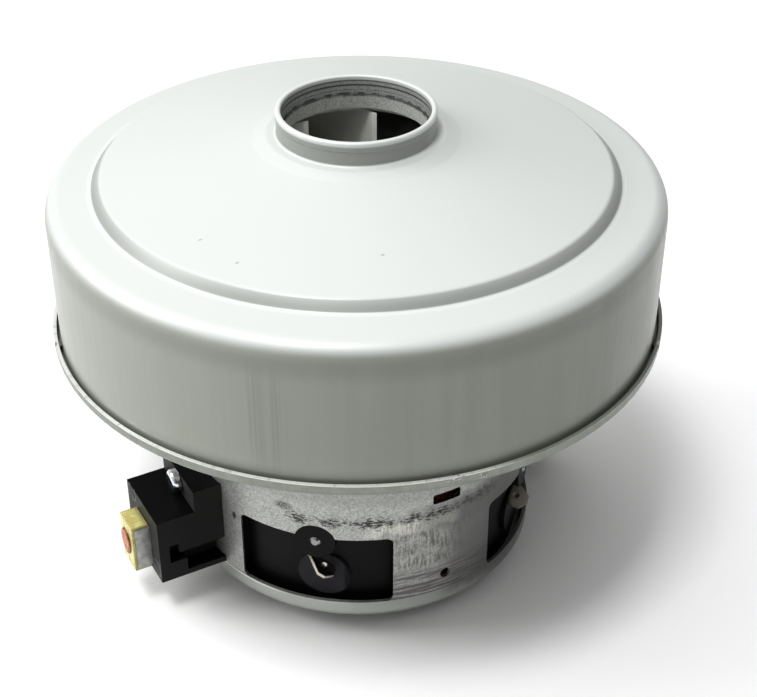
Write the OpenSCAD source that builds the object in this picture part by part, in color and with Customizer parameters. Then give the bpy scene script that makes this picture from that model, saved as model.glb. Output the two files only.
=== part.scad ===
// Vacuum motor unit: drawn fan cover on a drawn can, two-pole commutator motor inside.
// Millimetres, +Z up along the shaft, origin under the rear bearing hub.
// Azimuths count from -Y towards +X. The brush holders lie on -X and +X.

/* [Motor frame] */
// Wall of the rubber ring between the rear hub and its bearing
damper_t = 1.2; // [0.8:0.1:3]
// Height of the hub under the can's floor
hub_h = 5; // [4:0.1:6]
// Outer radius of the can
can_r = 41.5; // [38:0.1:45]
// Height of the can, floor to flange, outside
can_h = 58.5; // [53:0.1:64]
// Sheet thickness of the frame
frame_t = 0.8; // [0.6:0.05:1]
// Outer bend radius at the can's floor
can_corner_r = 2; // [1.6:0.1:3]
// How far the up-turned lip stands out from the cover's skirt
lip_out = 1.5; // [1.3:0.1:4]
// Height of the lip over the flange's underside
lip_h = 2.7; // [2:0.1:5]
// Azimuths of the stakes that pinch the lip onto the cover
stake_az = [-102, -13, 45, 122, 182]; // [-180:1:190]

/* [Windows] */
// Azimuth of a window's middle from the post between two windows
window_az = 42.9; // [41:0.1:45]
// Width of a window across its corners
window_w = 35.6; // [30:0.1:37]
// Height of a window's sill over the can's floor
window_z = 4.8; // [4:0.1:6]
// Height of a window
window_h = 18.6; // [16:0.1:20]
// Corner radius of a window
window_corner = 1.5; // [0.5:0.1:3]
// Radius of the round notch in a front window's top edge
notch_r = 4.8; // [4:0.1:6]
// Offset of the notch from the window's middle, towards the post
notch_y = 0.8; // [0:0.1:2]
// How far the notch's centre lies under the window's top edge
notch_drop = 1.4; // [0.5:0.1:2]
// Width of the small slot in the front post
slot_w = 6.9; // [4:0.1:10]
// Height of the small slot
slot_h = 2.6; // [1.5:0.1:4]
// Height of the slot's middle over the can's floor
slot_z = 32; // [30:0.1:34]
// Diameter of the round hole in the front post
post_hole_d = 2.6; // [1.5:0.1:4]
// Height of the round hole over the can's floor
post_hole_z = 9.4; // [7:0.1:14]

/* [Fan cover] */
// Outer radius of the skirt
cover_r = 67.5; // [61:0.1:74]
// Sheet thickness of the cover
cover_t = 1.1; // [0.8:0.05:1.2]
// Height of the skirt up to the corner
skirt_h = 33.1; // [32:0.1:36]
// Outer bend radius of the skirt's corner
skirt_corner_r = 3.3; // [2.5:0.1:4]
// Rise of the flat rim from the corner to the step
rim_rise = 1; // [0.5:0.1:1.5]
// Width of the flat rim from the skirt to the step's foot
rim_w = 11.2; // [10:0.1:13]
// Width of the step from its foot to the ridge
step_w = 2.1; // [1.5:0.1:3]
// Height of the step
step_h = 2.3; // [1.5:0.1:3]
// Rise of the cone from the ridge to the plinth
cone_rise = 6.4; // [6:0.1:8]
// Width of the plinth's slope
plinth_w = 3; // [2:0.1:4]
// Width of the plinth's shelf round the collar
shelf_w = 2.2; // [2:0.1:3]
// Height of the plinth
plinth_h = 0.95; // [0.5:0.05:1.2]
// Outer radius of the inlet collar
collar_r = 17.2; // [15.5:0.1:19]
// Height of the collar over the plinth's shelf
collar_h = 5.1; // [4:0.1:8]
// How far the rolled rim stands out from the collar
rim_out = 0.15; // [0.05:0.05:0.4]
// Height of the rolled rim
rim_h = 1.7; // [1:0.1:3]
// Depth of the seal ring's sleeve under the collar's rim
seal_top = 4; // [3:0.1:5]
// Wall of the seal ring
seal_t = 0.45; // [0.3:0.05:0.8]

/* [Fan wheel] */
// How far the fan wheel's rim lies inside the skirt
wheel_in = 13.1; // [12.5:0.1:18]
// Gap between the fan wheel and the cover
wheel_gap = 1; // [0.6:0.1:1.5]
// Sheet thickness of the shroud and the back plate
wheel_t = 0.8; // [0.6:0.1:1.2]
// Radius of the eye in the shroud
eye_r = 17.8; // [16.8:0.1:18.5]
// Number of blades
blade_n = 6; // [5:1:9]
// Thickness of a blade
blade_t = 0.7; // [0.6:0.1:1.5]
// Radius where the blades begin
blade_in_r = 15.6; // [13:0.1:16]
// Height of the blades at the rim
blade_rim_h = 5.6; // [4:0.1:7]
// How far a blade swings round from eye to rim
blade_sweep = 75; // [60:1:85]
// Radius of a blade's arc
blade_arc_r = 38; // [34:0.5:45]
// Azimuth where the first blade begins
blade_az = 137.5; // [120:0.5:180]

/* [Diffuser] */
// Number of vanes round the fan wheel
vane_n = 13; // [9:1:17]
// Number of return vanes underneath
return_n = 9; // [6:1:12]
// Thickness of a vane
vane_t = 1.6; // [1:0.1:2.2]
// Thickness of the diffuser's plate
plate_t = 2; // [1.5:0.1:2.5]
// How far the diffuser's plate lies inside the skirt
plate_in = 6; // [4:0.1:8]

/* [Shaft and bearings] */
// Radius of the shaft
shaft_r = 4; // [3.5:0.1:4.5]
// Outer radius of a bearing
bearing_r = 11; // [10.8:0.1:11.2]
// Width of a bearing
bearing_w = 7; // [6.5:0.1:7.5]
// Radius of a ball
ball_r = 1.98; // [1.8:0.02:2]
// Balls in a bearing
ball_n = 7; // [6:1:8]
// Clearance of a ball in its grooves
ball_gap = 0.14; // [0.05:0.01:0.2]
// Sheet thickness of the bearing bracket
bracket_t = 1.5; // [1.2:0.1:2]
// Height of the bracket's bridge over the flange
bridge_h = 7.7; // [7:0.1:9]
// Width of the bracket's four arms
arm_w = 12; // [8:0.5:16]

/* [Motor] */
// Bore radius of the stator
bore_r = 22.2; // [21.5:0.1:23]
// Air gap between rotor and stator
air_gap = 0.6; // [0.4:0.05:0.8]
// Length of the cores
core_h = 22; // [18:0.5:23]
// How far the cores lie under the flange
core_drop = 2.5; // [2:0.1:4]
// Slots in the rotor
rotor_slots = 12; // [10:2:14]
// Height of a field coil's end turns
coil_end_h = 6.4; // [4:0.1:6.6]
// Radius of the commutator
comm_r = 11.5; // [10.5:0.1:12]
// Length of the commutator
comm_h = 13.7; // [13:0.1:14.2]
// Bars on the commutator
comm_n = 24; // [16:2:28]

/* [Brush gear] */
// Width of a carbon brush
brush_w = 6.3; // [5.5:0.1:6.8]
// Height of a carbon brush
brush_h = 9.9; // [9:0.1:10.4]
// Length of a carbon brush
brush_l = 28.5; // [20:0.5:32]
// Height of the brush line over the can's floor
brush_z = 12.2; // [11.6:0.1:13]
// Sheet thickness of a brush tube
tube_t = 0.6; // [0.4:0.05:0.8]
// Clearance of a brush in its tube
brush_gap = 0.12; // [0.08:0.01:0.2]
// How far a brush tube sticks out of its holder
tube_out = 3.6; // [3:0.1:6]
// Radius of a brush tube's inner end
tube_in_r = 15.5; // [14.5:0.1:18]
// Width of a brush holder
holder_w = 18.6; // [17:0.1:22]
// Length of a brush holder from the can's wall
holder_l = 15.1; // [13:0.1:18]
// Height of a holder's underside over the can's floor
holder_z = 5; // [4:0.1:5.4]
// Height of a holder's outer block
holder_h = 17.5; // [17:0.1:20]
// Thickness of the ear behind the outer block, from the can's wall
ear_t = 5.8; // [4.5:0.1:7.5]
// Height of the ear over the outer block
ear_h = 5.6; // [5:0.1:8]
// Clear height between the outer block and the holder screw's head
screw_lift = 0.15; // [0.05:0.05:0.6]
// Curls of a brush spring
spring_n = 9; // [6:1:10]
// Wire diameter of a brush spring
spring_wire = 0.6; // [0.4:0.05:0.7]

/* [Terminals] */
// Width of a terminal tab
tab_w = 4.8; // [4:0.1:6.3]
// Thickness of a terminal tab
tab_t = 0.8; // [0.5:0.1:1]
// Length of a terminal tab outside the carrier
tab_l = 5.9; // [5:0.1:8]
// Diameter of the hole in a tab
tab_hole_d = 1.5; // [1:0.1:1.8]
// Wall of a terminal carrier
carrier_t = 2.1; // [1.5:0.1:2.5]
// Half angle that a carrier covers
carrier_half = 29; // [27:0.5:30]

/* [Hidden] */
$fn = 96;
bend_n = 8;
far = 90;
seat_gap = 0.05;
thread_gap = 0.1;

// Heights and radii of the sheet pieces
can_z = hub_h;
hub_r = bearing_r + damper_t + frame_t;
lip_r = cover_r + lip_out;
step_foot_r = cover_r - rim_w;
ridge_r = step_foot_r - step_w;
shelf_r = collar_r + shelf_w;
plinth_r = shelf_r + plinth_w;
floor_z = can_z + frame_t;
flange_z = can_z + can_h;
deck_z = flange_z + frame_t;
can_in_r = can_r - frame_t;
sill_z = can_z + window_z;
head_z = sill_z + window_h;
notch_z = head_z - notch_drop;
brush_line = can_z + brush_z;
core_top = flange_z - core_drop;
core_bottom = core_top - core_h;
corner_z = deck_z + skirt_h;
foot_z = corner_z + rim_rise;
ridge_z = foot_z + step_h;
plinth_z = ridge_z + cone_rise;
shelf_z = plinth_z + plinth_h;
collar_z = shelf_z + collar_h;
collar_in_r = collar_r - cover_t;
bracket_z = deck_z + bracket_t;
bridge_z = deck_z + bridge_h;

// Fan wheel, laid out down from the cover
wheel_r = cover_r - wheel_in;
cone_slope = cone_rise / (ridge_r - plinth_r);
function cover_under(r) =
  plinth_z - (r - plinth_r) * cone_slope - cover_t * sqrt(1 + cone_slope * cone_slope);
throat_r = plinth_r + 1.6;
throat_z = cover_under(throat_r) - wheel_gap;
wheel_rim_z = cover_under(wheel_r) - wheel_gap;
eye_z = throat_z + 0.6;
back_z = wheel_rim_z - wheel_t - blade_rim_h;
blade_top = eye_z - 0.1;
washer_t = 0.8;
washer_r = 9.5;
nut_h = 6.5;
nut_af = 13;
shaft_top = back_z + washer_t + nut_h + 2.2;
spacer_r = 5.4;

// Bearings: the lower one stands in the hub, the upper one hangs in the bracket
hub_in_r = hub_r - frame_t;
hub_bend = 1.8;
lower_bearing_z = frame_t + 0.8;
bracket_hub_r = bearing_r + bracket_t + 0.02;
bracket_hub_h = bearing_w + 0.8;
bracket_top = bridge_z + bracket_hub_h;
cup_gap = 0.35;
upper_bearing_z = bracket_top - bracket_t - cup_gap - bearing_w;
pitch_r = (shaft_r + bearing_r) / 2;
race_gap = 1.45;
shield_t = 0.25;

// Diffuser under the wheel
plate_r = cover_r - plate_in;
plate_top = back_z - wheel_t - 1;
plate_bottom = plate_top - plate_t;
vane_in_r = wheel_r + 1.8;
vane_out_r = cover_r - cover_t - 0.7;
vane_top = corner_z - skirt_corner_r + 0.8;
vane_foot = plate_bottom + plate_t * 0.6;
return_top = plate_bottom + plate_t * 0.4;
return_in_r = bracket_hub_r + 11.5;
vane_sweep = 20;
vane_arc_r = 0.6 * cover_r;
return_sweep = 50;
return_arc_r = 0.9 * cover_r;

// Motor
rotor_r = bore_r - air_gap;
field_room = can_in_r - bore_r;
shoe_r = bore_r + 0.238 * field_room;
coil_in_r = bore_r + 0.27 * field_room;
coil_out_r = can_in_r - 0.335 * field_room;
yoke_r = can_in_r - 0.395 * field_room;
pole_half = 62;
coil_half = 82;
coil_eye_half = 33;
pole_w = 2 * coil_in_r * sin(coil_eye_half - 4.5);
insul_t = 0.5;
slot_r = 2.8;
slot_ring_r = rotor_r - 5.4;
comm_z = brush_line - comm_h / 2;
hook_h = 1.6;
hook_out = 1.3;
bar_t = 2.9;
turn_in_r = 9;
turn_out_r = rotor_r - 2.3;
turn_low_h = core_bottom - insul_t - comm_z - comm_h - 3.4;
turn_high_h = bridge_z - bracket_t - core_top - insul_t - 1.6;

// Brush gear
tube_w = brush_w + 2 * (brush_gap + tube_t);
tube_h = brush_h + 2 * (brush_gap + tube_t);
snout_in_r = can_r - 11.5;
snout_wall = 1.3;
snout_w = tube_w + 2 * snout_wall;
snout_h = tube_h + 2 * snout_wall;
holder_end_r = can_r + holder_l;
ear_r = can_r + ear_t;
tube_end_r = holder_end_r + tube_out;
holder_bottom = can_z + holder_z;
block_top = holder_bottom + holder_h;
ear_top = block_top + ear_h;
screw_r = 1.45;
screw_head_r = 2.85;
screw_head_h = 2.2;
screw_z = block_top + screw_lift + screw_head_r;
brush_in_r = comm_r + seat_gap;
brush_out_r = comm_r + brush_l;
cap_t = 0.6;
weld_r = 1.9;
weld_top_r = 1.2;
weld_h = 0.6;
spring_r = brush_w / 2 - brush_gap - spring_wire;
pigtail_r = 0.6;

// Terminals
carrier_in = 2.1;
carrier_r = can_in_r - carrier_in;
boss_r = notch_r - 0.2;
boss_face_r = can_r - 0.3;
pad_r = 6.1;
pad_y = 2;
pad_z = sill_z + 5.9;
tab_root = [carrier_r - 0.4, 0.6, sill_z + 10.5];
tab_turn = [-43.3, -62.6, 86.4];
tab_inside = 3.2;
rivet_r = 0.8;

// Bracket and its screws
bracket_rim_r = cover_r - 5.5;
arm_foot_r = can_r + 5.5;
arm_top_r = can_r + 1.5;
bracket_screw_pcd_r = (arm_foot_r + bracket_rim_r) / 2 + 0.5;
bracket_screw_r = 1.9;
bracket_screw_head_r = 3.4;
bracket_screw_head_h = 2;
bracket_screw_tail = 4;

// Bent sheet: a path of [r, z, bend radius] runs along one face, the sheet lies on its left
function at(p) = [p[0], p[1]];
function bend(p) = len(p) > 2 ? p[2] : 0;
function left(a, b) = let (d = (b - a) / norm(b - a)) [-d[1], d[0]];
function turn_sign(a, b) = sign(a[0] * b[1] - a[1] * b[0]);
function wrap(a) = a > 180 ? a - 360 : a < -180 ? a + 360 : a;
function backwards(list) = [for (i = [len(list) - 1 : -1 : 0]) list[i]];

function beside(path, d) = [
  for (i = [0 : len(path) - 1])
    let (
      p = at(path[i]),
      a = i > 0 ? left(at(path[i - 1]), p) : left(p, at(path[i + 1])),
      b = i < len(path) - 1 ? left(p, at(path[i + 1])) : a,
      q = p + d * (a + b) / (1 + a * b),
      r = bend(path[i]) > 0 ? max(bend(path[i]) - d * turn_sign(a, b), 0) : 0
    )
    [q[0], q[1], r]
];

function bend_points(p, q, s, r) =
  let (
    u = (p - q) / norm(p - q),
    v = (s - q) / norm(s - q),
    half = acos(u * v) / 2,
    c = q + r / sin(half) * (u + v) / norm(u + v),
    from = q + u * r / tan(half) - c,
    to = q + v * r / tan(half) - c,
    start = atan2(from[1], from[0]),
    sweep = wrap(atan2(to[1], to[0]) - start)
  )
  [for (k = [0 : bend_n]) c + r * [cos(start + sweep * k / bend_n), sin(start + sweep * k / bend_n)]];

function bent(path) = [
  for (i = [0 : len(path) - 1])
    each (i == 0 || i == len(path) - 1 || bend(path[i]) <= 0)
      ? [at(path[i])]
      : bend_points(at(path[i - 1]), at(path[i]), at(path[i + 1]), bend(path[i]))
];

module sheet(path, t) {
  rotate_extrude() polygon(concat(bent(path), backwards(bent(beside(path, t)))));
}

// Placing: +X of the child points outwards at an azimuth
module outwards(az) {
  rotate([0, 0, az - 90]) children();
}

// An outline drawn in Y and Z, pushed along +X
module along_x(length) {
  rotate([90, 0, 90]) linear_extrude(length) children();
}

module ring(inner, outer, h) {
  difference() {
    cylinder(r = outer, h = h);
    translate([0, 0, -1]) cylinder(r = inner, h = h + 2);
  }
}

module flat_ring(inner, outer) {
  difference() {
    circle(r = outer);
    circle(r = inner);
  }
}

// Wedge round -Y, half degrees to each side
module wedge(half) {
  polygon([
    [0, 0],
    far * [-sin(half), -cos(half)],
    far * [-sin(half / 2), -cos(half / 2)],
    far * [0, -1],
    far * [sin(half / 2), -cos(half / 2)],
    far * [sin(half), -cos(half)]
  ]);
}

module round_rect(w, h, r) {
  square([w - 2 * r, h], center = true);
  square([w, h - 2 * r], center = true);
  for (x = [-1, 1], y = [-1, 1])
    translate([x * (w / 2 - r), y * (h / 2 - r)]) circle(r = r);
}

module box_at(x0, x1, w, z0, z1) {
  translate([x0, -w / 2, z0]) cube([x1 - x0, w, z1 - z0]);
}

// Motor frame
frame_path = [
  [0, 0],
  [hub_r, 0, hub_bend],
  [hub_r, can_z, 0.8],
  [can_r, can_z, can_corner_r],
  [can_r, flange_z, 1.6],
  [lip_r, flange_z, 1.2],
  [lip_r, flange_z + lip_h]
];

module window_cut() {
  depth = 24;
  translate([can_r - depth / 2, 0, sill_z + window_h / 2])
    along_x(depth) round_rect(window_w, window_h, window_corner);
}

module notch_cut(side) {
  translate([can_r - 3, side * notch_y, notch_z]) rotate([0, 90, 0]) cylinder(r = notch_r, h = 6);
}

// A stake is a dent in the lip's outside and a bump inside that pinches the skirt
stake_r = 1.4;
dent_r = 1.6;

module stake(az) {
  outwards(az) translate([cover_r + 1.2, 0, deck_z + 0.2]) cylinder(r = stake_r, h = lip_h);
}

module motor_frame() {
  color([0.68, 0.69, 0.67]) {
    difference() {
      sheet(frame_path, frame_t);
      for (side = [-1, 1]) {
        outwards(side * window_az) window_cut();
        outwards(side * window_az) notch_cut(-side);
        outwards(180 + side * window_az) window_cut();
        outwards(side * 90) {
          translate([can_r - 6, 0, brush_line])
            along_x(12) square([snout_w + 2 * thread_gap, snout_h + 2 * thread_gap], center = true);
          translate([can_r - 6, 0, screw_z]) rotate([0, 90, 0]) cylinder(r = screw_r + thread_gap, h = 12);
        }
      }
      outwards(0) {
        translate([can_r - 5, 0, can_z + slot_z]) along_x(10) round_rect(slot_w, slot_h, 0.5);
        translate([can_r - 5, 0, can_z + post_hole_z]) rotate([0, 90, 0]) cylinder(d = post_hole_d, h = 10);
      }
      for (az = [45 : 90 : 315])
        outwards(az) translate([bracket_screw_pcd_r, 0, flange_z - 1])
          cylinder(r = bracket_screw_r + thread_gap, h = frame_t + 2);
      for (az = stake_az)
        outwards(az) translate([lip_r + dent_r - 0.5, 0, deck_z + 0.4]) cylinder(r = dent_r, h = lip_h);
    }
    intersection() {
      translate([0, 0, deck_z + 0.6])
        ring(cover_r + seat_gap, lip_r - frame_t + 0.2, lip_h - frame_t - 0.6);
      for (az = stake_az) stake(az);
    }
  }
}

// Fan cover
cover_path = [
  [cover_r, deck_z],
  [cover_r, corner_z, skirt_corner_r],
  [step_foot_r, foot_z, 1.6],
  [ridge_r, ridge_z, 2.2],
  [plinth_r, plinth_z, 2.5],
  [shelf_r, shelf_z, 1.8],
  [collar_r, shelf_z, 0.7],
  [collar_r, collar_z]
];

module fan_cover() {
  color([0.86, 0.88, 0.86]) {
    sheet(cover_path, cover_t);
    rim_top = collar_z + 0.02;
    rotate_extrude() polygon(bent([
      [collar_r - 0.4, rim_top - rim_h],
      [collar_r + rim_out, rim_top - rim_h + 0.15, 0.1],
      [collar_r + rim_out, rim_top, 0.5],
      [collar_in_r, rim_top, 0.4],
      [collar_in_r, rim_top - rim_h]
    ]));
  }
}

module inlet_seal() {
  sleeve_top = collar_z - seal_top;
  flange_top = shelf_z - cover_t - seat_gap;
  sleeve_r = collar_in_r - 0.02;
  flange_t = 0.9;
  color([0.55, 0.55, 0.54]) translate([0, 0, flange_top - flange_t]) {
    ring(sleeve_r - seal_t, sleeve_r, sleeve_top - flange_top + flange_t);
    ring(sleeve_r - seal_t, shelf_r - 0.6, flange_t);
  }
}

// Fan wheel
shroud_path = [
  [wheel_r, wheel_rim_z],
  [throat_r, throat_z, 4],
  [eye_r, eye_z]
];

function arc_centre(a, b, r) =
  let (d = b - a, n = [-d[1], d[0]] / norm(d), h = sqrt(r * r - d * d / 4))
  (a + b) / 2 + n * h;

// One curved vane from radius r0 to r1, swinging sweep degrees on an arc of radius arc_r
module vane_plan(r0, r1, sweep, arc_r, t) {
  c = arc_centre([r0, 0], r1 * [cos(sweep), sin(sweep)], arc_r);
  intersection() {
    translate(c) flat_ring(arc_r - t / 2, arc_r + t / 2);
    flat_ring(r0, r1);
    rotate(atan2(c[1], c[0])) translate([-far, -2 * far]) square(2 * far);
  }
}

module impeller_backplate() {
  color([0.72, 0.73, 0.72]) translate([0, 0, back_z - wheel_t]) ring(shaft_r + 0.02, wheel_r, wheel_t);
}

module impeller_shroud() {
  color([0.7, 0.71, 0.7]) sheet(shroud_path, wheel_t);
}

module impeller_blades() {
  under = bent(beside(shroud_path, wheel_t));
  space = concat([[wheel_r - 0.3, back_z]], under, [[blade_in_r - 1, blade_top], [blade_in_r - 1, back_z]]);
  color([0.6, 0.61, 0.58])
    for (k = [0 : blade_n - 1])
      intersection() {
        rotate([0, 0, blade_az - 90 + 360 * k / blade_n]) translate([0, 0, back_z])
          linear_extrude(blade_top - back_z + 2)
            vane_plan(blade_in_r, wheel_r - 0.5, blade_sweep, blade_arc_r, blade_t);
        rotate_extrude() polygon(space);
      }
}

module impeller_washers() {
  color([0.75, 0.75, 0.73]) {
    translate([0, 0, back_z - wheel_t - washer_t]) ring(shaft_r + 0.02, washer_r, washer_t);
    translate([0, 0, back_z]) ring(shaft_r + 0.02, washer_r, washer_t);
  }
}

module impeller_nut() {
  color([0.7, 0.7, 0.66]) translate([0, 0, back_z + washer_t]) difference() {
    cylinder(d = nut_af / cos(30), h = nut_h, $fn = 6);
    translate([0, 0, -1]) cylinder(r = shaft_r + 0.02, h = nut_h + 2);
  }
}

module spacer_sleeve() {
  bottom = upper_bearing_z + bearing_w;
  color([0.7, 0.7, 0.7]) translate([0, 0, bottom])
    ring(shaft_r + 0.02, spacer_r, back_z - wheel_t - washer_t - bottom);
}

// Diffuser: plate with vanes round the wheel above and return vanes below
module diffuser() {
  color([0.1, 0.1, 0.1]) difference() {
    union() {
      translate([0, 0, plate_bottom]) cylinder(r = plate_r, h = plate_t);
      for (k = [0 : vane_n - 1])
        rotate([0, 0, 360 * k / vane_n]) translate([0, 0, vane_foot])
          linear_extrude(vane_top - vane_foot)
            vane_plan(vane_in_r, vane_out_r, vane_sweep, vane_arc_r, vane_t);
      for (k = [0 : return_n - 1])
        rotate([0, 0, 360 * k / return_n]) translate([0, 0, bracket_z])
          linear_extrude(return_top - bracket_z)
            vane_plan(return_in_r, plate_r - 0.5, -return_sweep, return_arc_r, vane_t);
    }
    translate([0, 0, plate_bottom - 1]) cylinder(r = washer_r + 1.5, h = plate_t + 2);
    rotate_extrude() polygon([
      [0, deck_z - 5],
      [far, deck_z - 5],
      [far, bracket_z + seat_gap],
      [arm_foot_r + 0.9, bracket_z + seat_gap],
      [arm_top_r + 0.9, bridge_z + seat_gap],
      [0, bridge_z + seat_gap]
    ]);
    for (az = [45 : 90 : 315])
      outwards(az) translate([bracket_screw_pcd_r, 0, deck_z])
        cylinder(r = bracket_screw_head_r + 0.4, h = bracket_t + bracket_screw_head_h + 0.5);
  }
}

// Bearing bracket: pressed bridge over the can's mouth, with the upper bearing's cup
bracket_path = [
  [bracket_rim_r, bracket_z],
  [arm_foot_r, bracket_z, 2],
  [arm_top_r, bridge_z, 2.5],
  [bracket_hub_r, bridge_z, 1],
  [bracket_hub_r, bracket_top, 1.8],
  [spacer_r + 0.7, bracket_top]
];

module bearing_bracket() {
  color([0.62, 0.63, 0.62]) difference() {
    sheet(bracket_path, bracket_t);
    for (az = [0 : 90 : 270])
      outwards(az + 45) translate([0, 0, deck_z - 1]) linear_extrude(bridge_h + 2) intersection() {
        flat_ring(bracket_hub_r + 2.5, arm_top_r + 2);
        translate([arm_w / 2, arm_w / 2]) square(far);
      }
    for (az = [45 : 90 : 315])
      outwards(az) translate([bracket_screw_pcd_r, 0, deck_z - 1])
        cylinder(r = bracket_screw_r + thread_gap, h = bracket_t + 2);
  }
}

module bracket_screws() {
  color([0.7, 0.7, 0.66])
    for (az = [45 : 90 : 315])
      outwards(az) translate([bracket_screw_pcd_r, 0, bracket_z]) {
        translate([0, 0, -bracket_t - frame_t - bracket_screw_tail])
          cylinder(r = bracket_screw_r, h = bracket_t + frame_t + bracket_screw_tail + 0.5);
        difference() {
          cylinder(r = bracket_screw_head_r, h = bracket_screw_head_h);
          for (a = [0, 90])
            rotate([0, 0, a]) translate([-1.8, -0.35, 1]) cube([3.6, 0.7, bracket_screw_head_h]);
        }
      }
}

// Ball bearings, drawn from z = 0 up
module race_groove() {
  translate([0, 0, bearing_w / 2]) rotate_extrude() translate([pitch_r, 0]) circle(r = ball_r + ball_gap);
}

module outer_ring() {
  color([0.66, 0.67, 0.68]) difference() {
    ring(pitch_r + race_gap, bearing_r, bearing_w);
    race_groove();
  }
}

module inner_ring() {
  color([0.66, 0.67, 0.68]) difference() {
    ring(shaft_r, pitch_r - race_gap, bearing_w);
    race_groove();
  }
}

module balls() {
  color([0.8, 0.8, 0.82])
    for (k = [0 : ball_n - 1])
      rotate([0, 0, 360 * k / ball_n]) translate([pitch_r, 0, bearing_w / 2]) sphere(r = ball_r);
}

module cage() {
  cage_h = 5;
  color([0.7, 0.6, 0.35]) difference() {
    translate([0, 0, (bearing_w - cage_h) / 2]) ring(pitch_r - 0.5, pitch_r + 0.5, cage_h);
    for (k = [0 : ball_n - 1])
      rotate([0, 0, 360 * k / ball_n]) translate([pitch_r - 2, 0, bearing_w / 2]) rotate([0, 90, 0])
        cylinder(r = ball_r + 0.08, h = 4);
  }
}

module shields() {
  color([0.45, 0.46, 0.47])
    for (z = [0.3, bearing_w - 0.3 - shield_t])
      translate([0, 0, z]) ring(pitch_r - race_gap + 0.3, pitch_r + race_gap - 0.02, shield_t);
}

module upper_place() {
  translate([0, 0, upper_bearing_z]) children();
}

module lower_place() {
  translate([0, 0, lower_bearing_z]) children();
}

module bearing_damper() {
  color([0.08, 0.08, 0.08]) difference() {
    translate([0, 0, frame_t + 0.05]) union() {
      ring(bearing_r + 0.02, hub_in_r - seat_gap, can_z - frame_t - 0.6);
      ring(bearing_r - 2.4, hub_in_r - seat_gap, lower_bearing_z - frame_t - 0.05);
    }
    hub_floor_corner();
  }
}

// Room for the bend between the hub's wall and floor
module hub_floor_corner() {
  leg = hub_bend + 0.1;
  rotate_extrude() polygon([
    [hub_r - frame_t - leg, 0],
    [hub_r, 0],
    [hub_r, frame_t + leg]
  ]);
}

// Stator: laminated core with two poles on -Y and +Y, one coil a pole
module stator_core() {
  color([0.45, 0.46, 0.47]) translate([0, 0, core_bottom]) linear_extrude(core_h) {
    flat_ring(yoke_r, can_in_r - seat_gap);
    for (a = [0, 180])
      rotate(a) {
        intersection() {
          flat_ring(bore_r, shoe_r);
          wedge(pole_half);
        }
        intersection() {
          flat_ring(bore_r, yoke_r + 1);
          translate([-pole_w / 2, -far]) square([pole_w, far]);
        }
      }
  }
}

module leg_plan() {
  intersection() {
    flat_ring(coil_in_r, yoke_r - 0.4);
    difference() {
      wedge(coil_half);
      wedge(coil_eye_half);
    }
  }
}

module field_coil() {
  bottom = core_bottom - insul_t - 0.1;
  top = core_top + insul_t + 0.1;
  crown = [
    [coil_in_r, 0],
    [coil_in_r, coil_end_h, 2.2],
    [coil_out_r, coil_end_h, 2.2],
    [coil_out_r, 0]
  ];
  translate([0, 0, bottom - 0.01]) linear_extrude(top - bottom + 0.02) leg_plan();
  for (end = [0, 1])
    intersection() {
      translate([0, 0, end ? top : bottom]) mirror([0, 0, 1 - end]) rotate_extrude() polygon(bent(crown));
      translate([0, 0, bottom - coil_end_h - 1])
        linear_extrude(top - bottom + 2 * coil_end_h + 2) wedge(coil_half);
    }
}

module field_coil_front() {
  color([0.55, 0.24, 0.12]) field_coil();
}

module field_coil_rear() {
  color([0.55, 0.24, 0.12]) rotate([0, 0, 180]) field_coil();
}

module stator_insulators() {
  color([0.85, 0.8, 0.65])
    for (z = [core_bottom - insul_t, core_top])
      translate([0, 0, z]) linear_extrude(insul_t) difference() {
        flat_ring(bore_r + 0.08 * field_room, can_in_r - 0.135 * field_room);
        for (a = [0, 180])
          rotate(a) intersection() {
            flat_ring(coil_in_r - 0.2, yoke_r - 0.2);
            difference() {
              wedge(coil_half + 2);
              wedge(coil_eye_half - 1);
            }
          }
      }
}

// Rotor
module shaft() {
  bottom = lower_bearing_z - 0.2;
  color([0.6, 0.61, 0.62]) translate([0, 0, bottom]) cylinder(r = shaft_r - 0.01, h = shaft_top - bottom);
}

module rotor_plan(r) {
  difference() {
    circle(r = r);
    circle(r = shaft_r);
    for (k = [0 : rotor_slots - 1])
      rotate(360 * k / rotor_slots) {
        translate([slot_ring_r, 0]) circle(r = slot_r);
        translate([slot_ring_r, -0.8]) square([rotor_r, 1.6]);
      }
  }
}

module rotor_core() {
  color([0.42, 0.43, 0.44]) translate([0, 0, core_bottom]) linear_extrude(core_h) rotor_plan(rotor_r);
}

module armature_winding() {
  low = core_bottom - insul_t;
  high = core_top + insul_t;
  color([0.62, 0.3, 0.14]) {
    rotate_extrude() polygon(bent([
      [turn_in_r, low],
      [turn_in_r, low - turn_low_h, 1],
      [turn_out_r - 5, low - turn_low_h, 3],
      [turn_out_r, low - turn_low_h / 2, 4],
      [turn_out_r, low]
    ]));
    rotate_extrude() polygon(bent([
      [turn_out_r, high],
      [turn_out_r, high + turn_high_h, 3.5],
      [turn_in_r, high + turn_high_h, 1.5],
      [turn_in_r, high]
    ]));
    for (k = [0 : rotor_slots - 1])
      rotate([0, 0, 360 * k / rotor_slots]) translate([slot_ring_r, 0, low - 0.5])
        cylinder(r = slot_r - 0.1, h = high - low + 1);
  }
}

module rotor_insulators() {
  low = core_bottom - insul_t;
  color([0.8, 0.78, 0.7]) {
    translate([0, 0, low]) linear_extrude(insul_t) rotor_plan(turn_out_r);
    translate([0, 0, comm_z + comm_h + 0.1]) ring(shaft_r, turn_in_r - 0.05, low - comm_z - comm_h - 0.1);
    translate([0, 0, core_top]) linear_extrude(insul_t) rotor_plan(turn_out_r);
    translate([0, 0, core_top + insul_t]) ring(shaft_r, turn_in_r - 0.05, turn_high_h);
  }
}

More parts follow.
